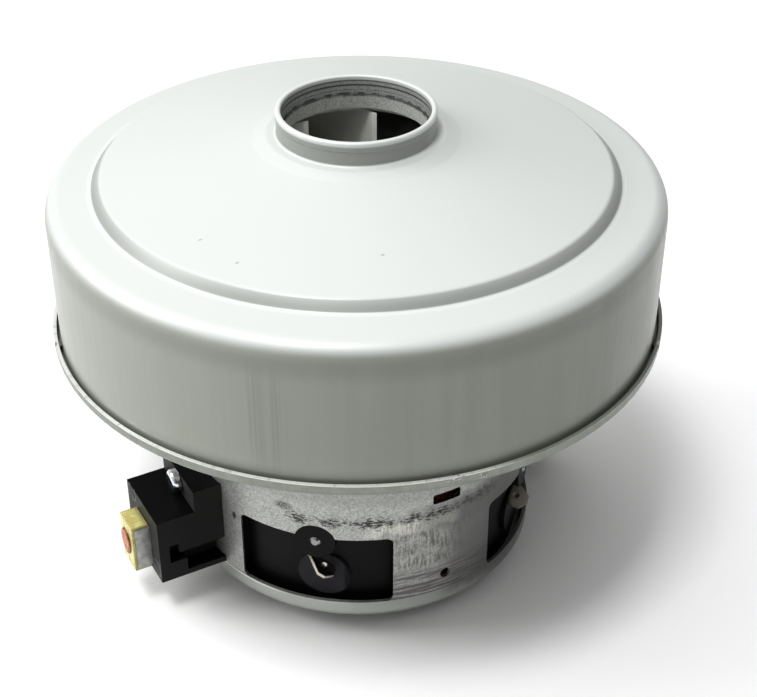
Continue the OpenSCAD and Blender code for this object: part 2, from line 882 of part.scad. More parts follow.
module commutator_bars() {
  step = 360 / comm_n;
  gap_deg = 2;
  top = comm_z + comm_h;
  color([0.72, 0.42, 0.25])
    for (k = [0 : comm_n - 1])
      rotate([0, 0, k * step]) rotate_extrude(angle = step - gap_deg) polygon([
        [comm_r - bar_t, comm_z],
        [comm_r, comm_z],
        [comm_r, top - hook_h],
        [comm_r + hook_out, top - hook_h],
        [comm_r + hook_out, top],
        [comm_r - bar_t, top]
      ]);
}

module commutator_hub() {
  color([0.2, 0.13, 0.1]) translate([0, 0, comm_z]) ring(shaft_r, comm_r - bar_t, comm_h);
}

// Brush gear, drawn outwards along +X
module side_recess(side) {
  depth = (holder_w - tube_w) / 2 - snout_wall;
  notch_in_r = holder_end_r - 4.9;
  notch_top = holder_bottom + 10;
  groove_bottom = holder_bottom + 5;
  foot_bottom = holder_bottom + 1.5;
  translate([0, side * (holder_w / 2 - depth / 2 + 0.05), 0]) {
    box_at(notch_in_r, notch_in_r + 2.4, depth + 0.1, groove_bottom, notch_top);
    box_at(can_r - 2, notch_in_r + 0.1, depth + 0.1, groove_bottom, groove_bottom + 2.4);
    box_at(can_r - 2, notch_in_r - 1.7, depth + 0.1, foot_bottom, groove_bottom + 0.1);
  }
}

module brush_holder() {
  color([0.07, 0.07, 0.075]) difference() {
    union() {
      difference() {
        union() {
          box_at(can_r - 3, holder_end_r, holder_w, holder_bottom, block_top);
          box_at(can_r - 3, ear_r, holder_w, holder_bottom, ear_top);
        }
        cylinder(r = can_r + seat_gap, h = flange_z);
        side_recess(-1);
        side_recess(1);
      }
      translate([snout_in_r, 0, brush_line])
        along_x(can_r + 2 - snout_in_r) square([snout_w, snout_h], center = true);
    }
    translate([snout_in_r - 1, 0, brush_line])
      along_x(holder_end_r) square([tube_w + 2 * seat_gap, tube_h + 2 * seat_gap], center = true);
    translate([can_r - 5, 0, screw_z]) rotate([0, 90, 0]) cylinder(r = screw_r + thread_gap, h = 20);
  }
}

module brush_tube() {
  color([0.6, 0.61, 0.59]) difference() {
    translate([tube_in_r, 0, brush_line])
      along_x(tube_end_r - tube_in_r) square([tube_w, tube_h], center = true);
    translate([tube_in_r - 1, 0, brush_line])
      along_x(far) square([tube_w - 2 * tube_t, tube_h - 2 * tube_t], center = true);
  }
}

// Folded strap over the tube's end, with a hole for the pigtail
module brush_cap() {
  flap_in = holder_end_r + 0.2;
  half = tube_h / 2 + cap_t;
  color([0.8, 0.74, 0.45]) difference() {
    box_at(flap_in, tube_end_r + cap_t, tube_w - 0.6, brush_line - half, brush_line + half);
    translate([flap_in - 1, -far, brush_line - tube_h / 2 - 0.02])
      cube([tube_end_r + 0.02 - flap_in + 1, 2 * far, tube_h + 0.04]);
    translate([tube_end_r - 1, 0, brush_line]) rotate([0, 90, 0]) cylinder(r = pigtail_r + 0.1, h = 4);
  }
}

module carbon_brush() {
  start = comm_r - 3;
  color([0.2, 0.2, 0.21]) difference() {
    translate([start, 0, brush_line])
      along_x(brush_out_r - start) square([brush_w, brush_h], center = true);
    cylinder(r = brush_in_r, h = flange_z);
  }
}

// Helix along +X: rings of a round wire
wire_sides = 6;
curl_rings = 8;

function helix_point(t) =
  let (
    a = 360 * spring_n * t,
    inset = spring_wire / 2 + seat_gap,
    x0 = brush_out_r + inset,
    x1 = tube_end_r - inset
  )
  [x0 + (x1 - x0) * t, spring_r * cos(a), spring_r * sin(a)];

// Least clear gap between two curls, measured on points of the wire's middle line
curl_n = spring_n * curl_rings;
curl_points = [for (i = [0 : curl_n]) helix_point(i / curl_n)];
curl_spans = [
  for (i = [0 : curl_n - curl_rings / 2], j = [i + curl_rings / 2 : curl_n])
    norm(curl_points[j] - curl_points[i])
];
curl_gap = min(curl_spans) - spring_wire;
echo(least_gap_between_curls = curl_gap);

function wire_ring(t) =
  let (
    c = helix_point(t),
    d = helix_point(t + 0.001) - helix_point(t - 0.001),
    along = d / norm(d),
    out = [0, c[1], c[2]] / spring_r,
    flat = cross(along, out)
  )
  [for (k = [0 : wire_sides - 1])
    c + spring_wire / 2 * (cos(360 * k / wire_sides) * out + sin(360 * k / wire_sides) * flat)];

module brush_spring() {
  points = [for (i = [0 : curl_n]) each wire_ring(i / curl_n)];
  sides = [
    for (i = [0 : curl_n - 1], k = [0 : wire_sides - 1])
      let (a = i * wire_sides + k, b = i * wire_sides + (k + 1) % wire_sides)
      each [[a, b, b + wire_sides], [a, b + wire_sides, a + wire_sides]]
  ];
  last = curl_n * wire_sides;
  ends = [
    for (k = [1 : wire_sides - 2])
      each [[0, k + 1, k], [last, last + k, last + k + 1]]
  ];
  color([0.6, 0.6, 0.6]) translate([0, 0, brush_line])
    polyhedron(points, concat(sides, ends), convexity = 20);
}

module brush_pigtail() {
  color([0.7, 0.4, 0.25]) translate([brush_out_r, 0, brush_line]) rotate([0, 90, 0])
    cylinder(r = pigtail_r, h = tube_end_r + cap_t - brush_out_r);
}

module pigtail_weld() {
  color([0.75, 0.42, 0.3]) translate([tube_end_r + cap_t, 0, brush_line]) rotate([0, 90, 0])
    cylinder(r1 = weld_r, r2 = weld_top_r, h = weld_h);
}

module holder_screw() {
  color([0.75, 0.76, 0.77]) translate([ear_r, 0, screw_z]) rotate([0, 90, 0]) {
    translate([0, 0, can_in_r - ear_r - 2]) cylinder(r = screw_r, h = ear_r - can_in_r + 2.5);
    difference() {
      rotate_extrude() polygon(bent([
        [0, 0],
        [screw_head_r, 0, 0.3],
        [screw_head_r, screw_head_h, 1.2],
        [0, screw_head_h]
      ]));
      for (a = [0, 90])
        rotate([0, 0, a]) translate([-1.6, -0.3, 1]) cube([3.2, 0.6, screw_head_h]);
    }
  }
}

module on_left() {
  outwards(-90) children();
}

module on_right() {
  outwards(90) children();
}

// Terminals, drawn for the window on the left of the front post and mirrored for the other
module tab_outline(grow) {
  chamfer = 1.2;
  difference() {
    polygon([
      [-tab_w / 2 - grow, tab_inside + grow],
      [tab_w / 2 + grow, tab_inside + grow],
      [tab_w / 2 + grow, -tab_l + chamfer],
      [tab_w / 2 - chamfer, -tab_l],
      [-tab_w / 2 + chamfer, -tab_l],
      [-tab_w / 2 - grow, -tab_l + chamfer]
    ]);
    translate([0, -tab_l + 3]) circle(d = tab_hole_d);
  }
}

module tab_plate(grow) {
  outwards(-window_az) translate(tab_root) rotate(tab_turn)
    translate([-tab_t / 2 - grow, 0, 0]) along_x(tab_t + 2 * grow) tab_outline(grow);
}

module carrier_wedge(half) {
  rotate([0, 0, -window_az]) translate([0, 0, -1]) linear_extrude(flange_z) wedge(half);
}

module rivet_hole(grow) {
  outwards(-window_az) translate([carrier_r - carrier_t + 0.6, notch_y, notch_z]) rotate([0, 90, 0])
    cylinder(r = rivet_r + grow, h = boss_face_r - carrier_r + carrier_t - 0.6);
}

module terminal_carrier() {
  foot_z = floor_z + 0.05;
  rib_z = floor_z + 2;
  top_z = notch_z + notch_r + 2;
  inner = carrier_r - carrier_t;
  rib_r = can_in_r - 0.1;
  color([0.06, 0.06, 0.065]) difference() {
    union() {
      intersection() {
        union() {
          translate([0, 0, foot_z]) ring(inner, carrier_r, top_z - foot_z);
          translate([0, 0, top_z - 1.6]) ring(inner, rib_r, 1.6);
        }
        carrier_wedge(carrier_half);
      }
      intersection() {
        translate([0, 0, rib_z]) ring(inner, rib_r, top_z - rib_z);
        difference() {
          carrier_wedge(carrier_half);
          carrier_wedge(carrier_half - 2.5);
        }
      }
      outwards(-window_az) {
        translate([carrier_r - 1, notch_y, notch_z]) rotate([0, 90, 0])
          cylinder(r = boss_r, h = boss_face_r - carrier_r + 1);
        translate([carrier_r - 1, pad_y, pad_z]) rotate([0, 90, 0]) cylinder(r = pad_r, h = 1.4);
      }
    }
    tab_plate(seat_gap);
    rivet_hole(0.02);
  }
}

module terminal_tab() {
  color([0.7, 0.68, 0.62]) tab_plate(0);
}

module terminal_rivet() {
  head = 0.4;
  color([0.75, 0.76, 0.77]) {
    rivet_hole(0);
    outwards(-window_az) translate([boss_face_r, notch_y, notch_z]) rotate([0, 90, 0])
      cylinder(r1 = rivet_r + head, r2 = rivet_r, h = head);
  }
}

module to_right() {
  mirror([1, 0, 0]) children();
}

motor_frame();
fan_cover();
inlet_seal();
diffuser();
bearing_bracket();
bracket_screws();
upper_place() outer_ring();  // upper_bearing_outer_ring
upper_place() inner_ring();  // upper_bearing_inner_ring
upper_place() balls();  // upper_bearing_balls
upper_place() cage();  // upper_bearing_cage
upper_place() shields();  // upper_bearing_shields
lower_place() outer_ring();  // lower_bearing_outer_ring
lower_place() inner_ring();  // lower_bearing_inner_ring
lower_place() balls();  // lower_bearing_balls
lower_place() cage();  // lower_bearing_cage
lower_place() shields();  // lower_bearing_shields
bearing_damper();
stator_core();
field_coil_front();
field_coil_rear();
stator_insulators();
on_left() brush_holder();  // left_brush_holder
on_right() brush_holder();  // right_brush_holder
on_left() brush_tube();  // left_brush_tube
on_right() brush_tube();  // right_brush_tube
on_left() brush_cap();  // left_brush_cap
on_right() brush_cap();  // right_brush_cap
on_left() carbon_brush();  // left_carbon_brush
on_right() carbon_brush();  // right_carbon_brush
on_left() brush_spring();  // left_brush_spring
on_right() brush_spring();  // right_brush_spring
on_left() brush_pigtail();  // left_brush_pigtail
on_right() brush_pigtail();  // right_brush_pigtail
union() {  // pigtail_welds
  on_left() pigtail_weld();
  on_right() pigtail_weld();
}
union() {  // holder_screws
  on_left() holder_screw();
  on_right() holder_screw();
}
terminal_carrier();  // left_terminal_carrier
to_right() terminal_carrier();  // right_terminal_carrier
terminal_tab();  // left_terminal_tab
to_right() terminal_tab();  // right_terminal_tab
union() {  // terminal_rivets
  terminal_rivet();
  to_right() terminal_rivet();
}
shaft();
rotor_core();
armature_winding();
rotor_insulators();
commutator_bars();
commutator_hub();
spacer_sleeve();
impeller_backplate();
impeller_shroud();
impeller_blades();
impeller_washers();
impeller_nut();
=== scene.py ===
"""Looks of the vacuum motor unit: finishes for its solids, wound wire, and a plain studio round it."""

import math

import bmesh
import bpy
from mathutils import Matrix, Vector


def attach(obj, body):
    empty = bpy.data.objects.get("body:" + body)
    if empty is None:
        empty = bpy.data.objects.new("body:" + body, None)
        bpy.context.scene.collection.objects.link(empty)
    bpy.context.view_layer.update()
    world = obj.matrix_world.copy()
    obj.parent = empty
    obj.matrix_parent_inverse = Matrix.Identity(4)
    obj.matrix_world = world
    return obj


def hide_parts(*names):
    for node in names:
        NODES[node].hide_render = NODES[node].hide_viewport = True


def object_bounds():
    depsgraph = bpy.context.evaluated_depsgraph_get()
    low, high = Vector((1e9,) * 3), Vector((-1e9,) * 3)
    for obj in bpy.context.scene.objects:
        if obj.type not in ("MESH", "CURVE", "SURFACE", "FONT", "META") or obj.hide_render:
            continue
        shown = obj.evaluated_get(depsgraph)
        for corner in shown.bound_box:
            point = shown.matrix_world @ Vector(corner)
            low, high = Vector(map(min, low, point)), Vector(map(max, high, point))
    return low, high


bl_info = {
    "name": "Vacuum motor unit",
    "version": (1, 0, 0),
    "blender": (4, 5, 0),
    "location": "3D View > Sidebar > Motor unit",
    "description": "Finishes the pieces of a vacuum motor and sets up its studio",
    "category": "Object",
}

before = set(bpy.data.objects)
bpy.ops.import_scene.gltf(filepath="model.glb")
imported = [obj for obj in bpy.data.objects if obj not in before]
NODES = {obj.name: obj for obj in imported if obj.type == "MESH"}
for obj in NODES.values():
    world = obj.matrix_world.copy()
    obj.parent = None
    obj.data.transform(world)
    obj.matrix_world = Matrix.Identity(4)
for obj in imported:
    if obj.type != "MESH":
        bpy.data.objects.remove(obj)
CAD_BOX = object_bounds()
MM = 0.001
FLOAT = "NodeSocketFloat"
VECTOR = "NodeSocketVector"
GEOMETRY = "NodeSocketGeometry"
WHOLE = "NodeSocketInt"
FINISH = "NodeSocketMaterial"

# Camera of the photograph, in the part's own axes, and the side from which the room is bright
CAMERA_PLACE = Vector((-0.13796, -0.26501, 0.25416))
CAMERA_FORWARD = Vector((0.393507, 0.728095, -0.561274))
CAMERA_UP = Vector((0.268611, 0.492828, 0.827628))
CAMERA_LENS = 73.10
CAMERA_SENSOR = 36.0
BRIGHT_SIDE = (-0.72, 0.64, 0.2)

# Sizes of the case in millimetres
CAN_R = 41.5
BAND_TOP = 9.8
LIP_TOP = 66.25
COVER_R = 67.5
COLLAR_R = 17.2
BORE_R = 16.1
RIM_R = 17.35
RIM_TOP = 113.5
RIM_FOOT = 111.0

# Outside of the cover from the skirt's foot to the collar: radius, height and bend of each corner
COVER_PATH = (
    (COVER_R, 64.3, 0.0),
    (COVER_R, 96.95, 4.0),
    (57.4, 98.3, 1.0),
    (55.35, 100.47, 1.7),
    (22.4, 107.1, 2.5),
    (19.4, 108.05, 1.8),
    (COLLAR_R, 108.05, 0.7),
    (COLLAR_R, 111.47, 0.0),
)
# Rolled rim of the collar, from its outside over the top to the bore
RIM_PATH = ((RIM_R, 111.6, 0.1), (RIM_R, RIM_TOP, 0.6), (BORE_R, RIM_TOP, 0.45), (BORE_R, RIM_FOOT, 0.0))

# Weld pad on the right brush cap: centre, and half width and half height
WELD_CENTRE = (60.8, 0.7, 17.2)
WELD_HALF = (2.75, 3.4)

# Places of single marks, and half sizes where they differ
RUBBED_PLACE = (-45.9, -49.5, 79.0)
SPECK_PLACES = ((-44.0, -17.4, 102.0), (-40.9, -28.2, 101.6), (-15.8, -40.8, 102.8))
LIP_CHIPS = (((-14.4, -67.4, 66.2), (3.0, 2.0, 1.6)), ((-8.4, -68.5, 65.2), (1.4, 1.5, 1.3)))
DENT_PLACE = (-32.6, -25.7, 35.8)
NICK_PLACE = (-39.3, -13.2, 26.4)
HOLDER_MARKS = ((56.6, 6.2, 26.0), (56.6, -6.7, 12.6))
PAD_PLACE = (24.98, -29.95, 16.17)

# Lines scored in the inlet bore: height, half width, how broken they are and how dark
BORE_LINES = (
    (112.4, 0.26, 0.0, 0.85),
    (111.3, 0.3, 0.0, 0.85),
    (110.2, 0.16, 0.5, 0.5),
    (109.35, 0.3, 0.9, 0.8),
)

# Bare metals: finish, material, colour, tarnish, roughness, how metallic, scale of the grain
BARE_METALS = (
    ("steel", "bright_steel", (0.62, 0.63, 0.62), (0.40, 0.40, 0.39), 0.32, 1.0, 2.0),
    ("bearing", "bearing_steel", (0.70, 0.71, 0.72), (0.52, 0.53, 0.54), 0.18, 1.0, 2.0),
    ("aluminium", "wheel_aluminium", (0.70, 0.71, 0.66), (0.58, 0.59, 0.54), 0.45, 0.3, 2.0),
    # The blades are a lighter copy of the wheel's aluminium: painted light
    ("blade", "blade_painted_light", (0.90, 0.91, 0.85), (0.80, 0.81, 0.74), 0.45, 0.1, 2.0),
    # The backplate is a dark copy of the wheel's aluminium: painted shade
    ("plate", "backplate_painted_shade", (0.24, 0.24, 0.22), (0.17, 0.17, 0.15), 0.5, 0.2, 2.0),
    ("copper", "copper", (0.78, 0.36, 0.20), (0.52, 0.20, 0.10), 0.36, 0.7, 2.0),
    ("wire", "enamelled_wire", (0.80, 0.36, 0.17), (0.50, 0.18, 0.08), 0.28, 0.4, 2.0),
    ("tube", "brush_tube", (0.54, 0.55, 0.52), (0.32, 0.33, 0.31), 0.36, 0.6, 8.0),
    ("chrome", "screw_chrome", (0.80, 0.82, 0.85), (0.66, 0.68, 0.71), 0.16, 1.0, 2.0),
    ("rivet", "rivet_steel", (0.30, 0.30, 0.30), (0.18, 0.18, 0.18), 0.22, 1.0, 2.0),
)

# Mouldings: finish, material, colour, colour of the patches, roughness, scale of the grain, shine
MOULDINGS = (
    ("carbon", "pressed_carbon", (0.03, 0.03, 0.031), (0.08, 0.07, 0.06), 0.55, 6.0, 0.5),
    ("rubber", "rubber", (0.02, 0.02, 0.02), (0.05, 0.05, 0.05), 0.7, 4.0, 0.3),
    ("fibre", "fibre_board", (0.60, 0.52, 0.34), (0.40, 0.33, 0.20), 0.7, 2.0, 0.5),
    ("resin", "moulded_resin", (0.05, 0.032, 0.022), (0.10, 0.07, 0.05), 0.4, 4.0, 0.5),
)

# Filled by the first operator: shared shader groups and finished materials by name
GROUPS = {}
FINISHES = {}


class Wiring:
    """Adds nodes to one tree. A socket that is handed in is linked, any other value is set."""

    def __init__(self, tree):
        self.tree = tree

    def feed(self, socket, value):
        if isinstance(value, bpy.types.NodeSocket):
            self.tree.links.new(value, socket)
        elif socket.type == "RGBA":
            socket.default_value = (*value[:3], 1.0)
        else:
            socket.default_value = value

    def node(self, kind, settings=None, **inputs):
        made = self.tree.nodes.new(kind)
        for name, value in (settings or {}).items():
            setattr(made, name, value)
        for name, value in inputs.items():
            self.feed(made.inputs[name.replace("_", " ")], value)
        return made

    def math(self, operation, first, second=0.0, clamp=False):
        made = self.node("ShaderNodeMath", {"operation": operation, "use_clamp": clamp})
        self.feed(made.inputs[0], first)
        self.feed(made.inputs[1], second)
        return made.outputs[0]

    def times(self, first, *others):
        """The product of sockets and numbers."""
        for other in others:
            first = self.math("MULTIPLY", first, other)
        return first

    def outside(self, mask):
        """What a mask leaves out."""
        return self.math("SUBTRACT", 1.0, mask)

    def vector(self, operation, first, second=(0.0, 0.0, 0.0)):
        made = self.node("ShaderNodeVectorMath", {"operation": operation})
        self.feed(made.inputs[0], first)
        self.feed(made.inputs[1], second)
        return made.outputs["Value" if operation in {"LENGTH", "DOT_PRODUCT", "DISTANCE"} else "Vector"]

    def axes(self, vector):
        return self.node("ShaderNodeSeparateXYZ", Vector=vector).outputs

    def joined(self, x=0.0, y=0.0, z=0.0):
        return self.node("ShaderNodeCombineXYZ", X=x, Y=y, Z=z).outputs[0]

    def ramp(self, value, low, high, to_low=0.0, to_high=1.0, smooth=True):
        made = self.node(
            "ShaderNodeMapRange",
            {"interpolation_type": "SMOOTHSTEP" if smooth else "LINEAR"},
            Value=value,
            From_Min=low,
            From_Max=high,
            To_Min=to_low,
            To_Max=to_high,
        )
        return made.outputs["Result"]

    def fall(self, value, low, high):
        """1 up to low, 0 from high on."""
        return self.ramp(value, low, high, 1.0, 0.0)

    def between(self, value, low, high, soft):
        """1 from low to high, falling to 0 over a soft edge outside them."""
        return self.times(self.ramp(value, low - soft, low), self.fall(value, high, high + soft))

    def blend(self, share, first, second):
        made = self.node("ShaderNodeMix", {"data_type": "RGBA"})
        self.feed(made.inputs["Factor"], share)
        self.feed(made.inputs[6], first)
        self.feed(made.inputs[7], second)
        return made.outputs[2]

    def noise(self, vector, scale, detail=2.0, roughness=0.5):
        made = self.node("ShaderNodeTexNoise", Vector=vector, Scale=scale, Detail=detail, Roughness=roughness)
        return made.outputs["Fac"]

    def stretched(self, vector, stretch, detail, roughness=0.5):
        """Noise drawn out along the axes: the higher an axis's number, the finer along it."""
        return self.noise(self.vector("MULTIPLY", vector, stretch), 1.0, detail, roughness)


def new_tree(name, kind, inputs, outputs):
    """An empty node tree. Inputs and outputs are {name: (socket type, default)} and {name: socket type}."""
    tree = bpy.data.node_groups.new(name, kind)
    for label, (socket, default) in inputs.items():
        made = tree.interface.new_socket(label, in_out="INPUT", socket_type=socket)
        if default is not None:
            made.default_value = default
    for label, socket in outputs.items():
        tree.interface.new_socket(label, in_out="OUTPUT", socket_type=socket)
    wires = Wiring(tree)
    return tree, wires, wires.node("NodeGroupInput").outputs, wires.node("NodeGroupOutput").inputs


def new_group(name, inputs, outputs):
    """An empty shader group that reads a place on the surface."""
    return new_tree(name, "ShaderNodeTree", {"Vector": (VECTOR, None), **inputs}, outputs)


def new_grower(name, inputs):
    """An empty Geometry Nodes tree with a mesh going in and one coming out, and named inputs."""
    inputs = {"Geometry": (GEOMETRY, None), **inputs}
    return new_tree(name, "GeometryNodeTree", inputs, {"Geometry": GEOMETRY})


def left_of(first, second):
    """Unit vector to the left of a step in the plane."""
    step = (second - first).normalized()
    return Vector((-step.y, step.x))


def beside(path, distance):
    """The path moved to its left, with its bend radii changed to suit."""
    least_bend = 0.05
    spots = [Vector(point[:2]) for point in path]
    moved = []
    for index, (spot, point) in enumerate(zip(spots, path)):
        before = left_of(spots[max(index - 1, 0)], spots[max(index, 1)])
        after = left_of(spots[min(index, len(spots) - 2)], spots[min(index + 1, len(spots) - 1)])
        place = spot + (before + after) * (distance / (1 + before.dot(after)))
        side = before.cross(after)
        radius = max(point[2] - math.copysign(distance, side), least_bend) if point[2] else 0.0
        moved.append((place.x, place.y, radius))
    return moved


def bent(path, steps=14):
    """The path with each bend laid out as an arc."""
    spots = [Vector(point[:2]) for point in path]
    line = []
    for index, (spot, point) in enumerate(zip(spots, path)):
        radius = point[2]
        if not radius or index in (0, len(path) - 1):
            line.append(spot)
            continue
        back = (spots[index - 1] - spot).normalized()
        on = (spots[index + 1] - spot).normalized()
        half = back.angle(on) / 2
        centre = spot + (back + on).normalized() * (radius / math.sin(half))
        start = spot + back * (radius / math.tan(half)) - centre
        sweep = start.angle_signed(spot + on * (radius / math.tan(half)) - centre)
        for step in range(steps + 1):
            turned = start.copy()
            turned.rotate(Matrix.Rotation(-sweep * step / steps, 2))
            line.append(centre + turned)
    return line


def shown(name, mesh, body, nodes):
    """Puts a mesh on a body in place of CAD nodes."""
    made = bpy.data.objects.new(name, mesh)
    bpy.context.scene.collection.objects.link(made)
    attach(made, body)
    if nodes:
        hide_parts(*nodes)


def smoothed(name, body, sharp):
    """A mesh from an edited body: faces outwards, smooth up to a sharp angle in degrees."""
    bmesh.ops.recalc_face_normals(body, faces=body.faces)
    mesh = bpy.data.meshes.new(name)
    body.to_mesh(mesh)
    body.free()
    mesh.shade_smooth()
    mesh.set_sharp_from_angle(angle=math.radians(sharp))
    return mesh


def joined_rings(body, rings):
    """Faces between rings of points, each joined to the next."""
    for lower, upper in zip(rings, rings[1:]):
        for step in range(len(lower)):
            after = (step + 1) % len(lower)
            body.faces.new((lower[step], lower[after], upper[after], upper[step]))


def lathe(name, outline, count=240):
    """A closed outline of radius and height in millimetres, turned round +Z."""
    body = bmesh.new()
    rings = []
    for turn in range(count):
        across, along = math.cos(math.tau * turn / count), math.sin(math.tau * turn / count)
        spots = [(point.x * MM * across, point.x * MM * along, point.y * MM) for point in outline]
        rings.append([body.verts.new(spot) for spot in spots])
    joined_rings(body, [*rings, rings[0]])
    return smoothed(name, body, 40)


def weld_pads(name, thickness, count=48):
    """Pressed copper on the end of both brush caps: an uneven oval cushion a side, turned half round."""
    body = bmesh.new()
    profile = ((1.0, 0.0), (0.98, 0.45), (0.86, 0.8), (0.6, 0.96), (0.3, 0.9))
    waves = ((0.05, 3, 0.6), (0.03, 7, 0.0), (0.02, 13, 0.0))
    for side in (-1.0, 1.0):
        rings = []
        for share_out, share_up in profile:
            ring = []
            for step in range(count):
                angle = math.tau * step / count
                uneven = 1 + sum(size * math.sin(number * angle + start) for size, number, start in waves)
                lump = 1 + 0.10 * math.sin(5 * angle + 4 * share_out) * (1 - share_out)
                out = WELD_CENTRE[0] + thickness * share_up * lump
                across = WELD_CENTRE[1] + WELD_HALF[0] * share_out * uneven * math.cos(angle)
                up = WELD_CENTRE[2] + WELD_HALF[1] * share_out * uneven * math.sin(angle)
                ring.append(body.verts.new((side * out * MM, -side * across * MM, up * MM)))
            rings.append(ring)
        joined_rings(body, rings)
        body.faces.new(rings[-1])
        body.faces.new(rings[0][::-1])
    return smoothed(name, body, 50)


def copied_line(wires, given, rows, columns):
    """Copies of the line that comes in, rows times columns of them, with each copy's row and column."""
    line = wires.node("GeometryNodeMeshToCurve", Mesh=given["Geometry"]).outputs["Curve"]
    count = wires.times(given[rows], given[columns])
    copies = wires.node("GeometryNodeDuplicateElements", {"domain": "SPLINE"}, Geometry=line, Amount=count)
    index = copies.outputs["Duplicate Index"]
    row = wires.math("FLOOR", wires.math("DIVIDE", wires.math("ADD", index, 0.5), given[columns]))
    return copies.outputs["Geometry"], row, wires.math("MODULO", index, given[columns])


def wire_ends(wires, given, out, lines, place):
    """Moves lines to their place, thickens them into round wire and finishes the tree."""
    moved = wires.node("GeometryNodeSetPosition", Geometry=lines, Position=place).outputs["Geometry"]
    ring = wires.node("GeometryNodeCurvePrimitiveCircle", Resolution=7, Radius=given["Wire radius"])
    skin = wires.node("GeometryNodeCurveToMesh", Curve=moved, Profile_Curve=ring.outputs["Curve"])
    soft = wires.node("GeometryNodeSetShadeSmooth", Geometry=skin.outputs["Mesh"])
    real = wires.node("GeometryNodeRealizeInstances", Geometry=soft.outputs["Geometry"]).outputs["Geometry"]
    done = wires.node("GeometryNodeSetMaterial", Geometry=real, Material=given["Material"])
    wires.feed(out["Geometry"], done.outputs["Geometry"])


def share(wires, first, second, part):
    """first at part 0, second at part 1."""
    return wires.math("ADD", first, wires.times(wires.math("SUBTRACT", second, first), part))


def coil_tree():
    """Turns of wire round a pole: a flat loop, drawn -1 to 1, wrapped on cylinders layer by layer."""
    tree, wires, given, out = new_grower(
        "Wound coil",
        {
            "Turns": (WHOLE, 20),
            "Layers": (WHOLE, 6),
            "Wire radius": (FLOAT, 0.0005),
            "Inner radius": (FLOAT, 0.028),
            "Outer radius": (FLOAT, 0.032),
            "Eye angle": (FLOAT, 0.6),
            "Outer angle": (FLOAT, 1.4),
            "Middle": (FLOAT, 0.05),
            "Half height": (FLOAT, 0.011),
            "End height": (FLOAT, 0.006),
            "Flare": (FLOAT, 0.003),
            "Bulge": (FLOAT, 0.002),
            "Side": (FLOAT, 1.0),
            "Material": (FINISH, None),
        },
    )
    lines, layer, turn = copied_line(wires, given, "Layers", "Turns")
    part = wires.math("DIVIDE", turn, wires.math("SUBTRACT", given["Turns"], 1.0))
    depth = wires.math("DIVIDE", layer, wires.math("SUBTRACT", given["Layers"], 1.0))
    flat = wires.axes(wires.node("GeometryNodeInputPosition").outputs[0])
    angle = wires.times(flat["X"], share(wires, given["Eye angle"], given["Outer angle"], part))
    radius = share(wires, given["Inner radius"], given["Outer radius"], depth)
    ends = wires.ramp(wires.math("ABSOLUTE", flat["Y"]), 0.75, 1.0, smooth=False)
    radius = wires.math("ADD", radius, wires.times(given["Flare"], ends))
    low_end = wires.ramp(flat["Y"], -0.7, -0.95, smooth=False)
    centred = wires.ramp(wires.math("ABSOLUTE", angle), 0.18, 0.25, 1.0, 0.0, smooth=False)
    radius = wires.math("ADD", radius, wires.times(given["Bulge"], low_end, centred))
    radius = wires.times(radius, given["Side"])
    reach = wires.math("ADD", given["Half height"], wires.times(given["End height"], part))
    place = wires.joined(
        wires.times(radius, wires.math("SINE", angle)),
        wires.times(radius, wires.math("COSINE", angle), -1.0),
        wires.math("ADD", given["Middle"], wires.times(flat["Y"], reach)),
    )
    wire_ends(wires, given, out, lines, place)
    return tree


def end_turns_tree():
    """Wire that crosses from slot to slot over the end of the rotor, drawn -1 to 1 along each crossing."""
    tree, wires, given, out = new_grower(
        "End turns",
        {
            "Slots": (WHOLE, 12),
            "Wires": (WHOLE, 6),
            "Wire radius": (FLOAT, 0.0004),
            "Inner radius": (FLOAT, 0.010),
            "Outer radius": (FLOAT, 0.018),
            "Span": (FLOAT, 1.25),
            "Face": (FLOAT, 0.038),
            "Height": (FLOAT, 0.006),
            "Material": (FINISH, None),
        },
    )
    lines, slot, number = copied_line(wires, given, "Slots", "Wires")
    strand = wires.math("DIVIDE", number, given["Wires"])
    along = wires.axes(wires.node("GeometryNodeInputPosition").outputs[0])["X"]
    bulge = wires.outside(wires.times(along, along))
    step = wires.math("DIVIDE", math.tau, given["Slots"])
    start = wires.times(wires.math("ADD", slot, wires.times(strand, 0.8)), step)
    angle = wires.math("ADD", start, wires.times(along, given["Span"]))
    inward = wires.times(wires.math("POWER", bulge, 0.6), share(wires, 0.35, 1.0, strand))
    radius = share(wires, given["Outer radius"], given["Inner radius"], inward)
    rise = wires.times(wires.math("POWER", bulge, 0.45), share(wires, 0.55, 1.0, strand))
    place = wires.joined(
        wires.times(radius, wires.math("COSINE", angle)),
        wires.times(radius, wires.math("SINE", angle)),
        wires.math("ADD", given["Face"], wires.times(given["Height"], rise)),
    )
    wire_ends(wires, given, out, lines, place)
    return tree


def grown(name, base, tree, inputs):
    """Runs a Geometry Nodes tree on a base mesh and keeps the result as one plain mesh."""
    holder = bpy.data.objects.new(name, base)
    bpy.context.scene.collection.objects.link(holder)
    modifier = holder.modifiers.new("grow", "NODES")
    modifier.node_group = tree
    for item in tree.interface.items_tree:
        if item.in_out == "INPUT" and item.name in inputs:
            modifier[item.identifier] = inputs[item.name]
    graph = bpy.context.evaluated_depsgraph_get()
    mesh = bpy.data.meshes.new_from_object(holder.evaluated_get(graph))
    bpy.data.objects.remove(holder)
    mesh.name = name
    return mesh


def line_mesh(name, points, closed):
    """A chain of edges through points."""
    mesh = bpy.data.meshes.new(name)
    edges = [(index, index + 1) for index in range(len(points) - 1)]
    if closed:
        edges.append((len(points) - 1, 0))
    mesh.from_pydata(points, edges, [])
    return mesh


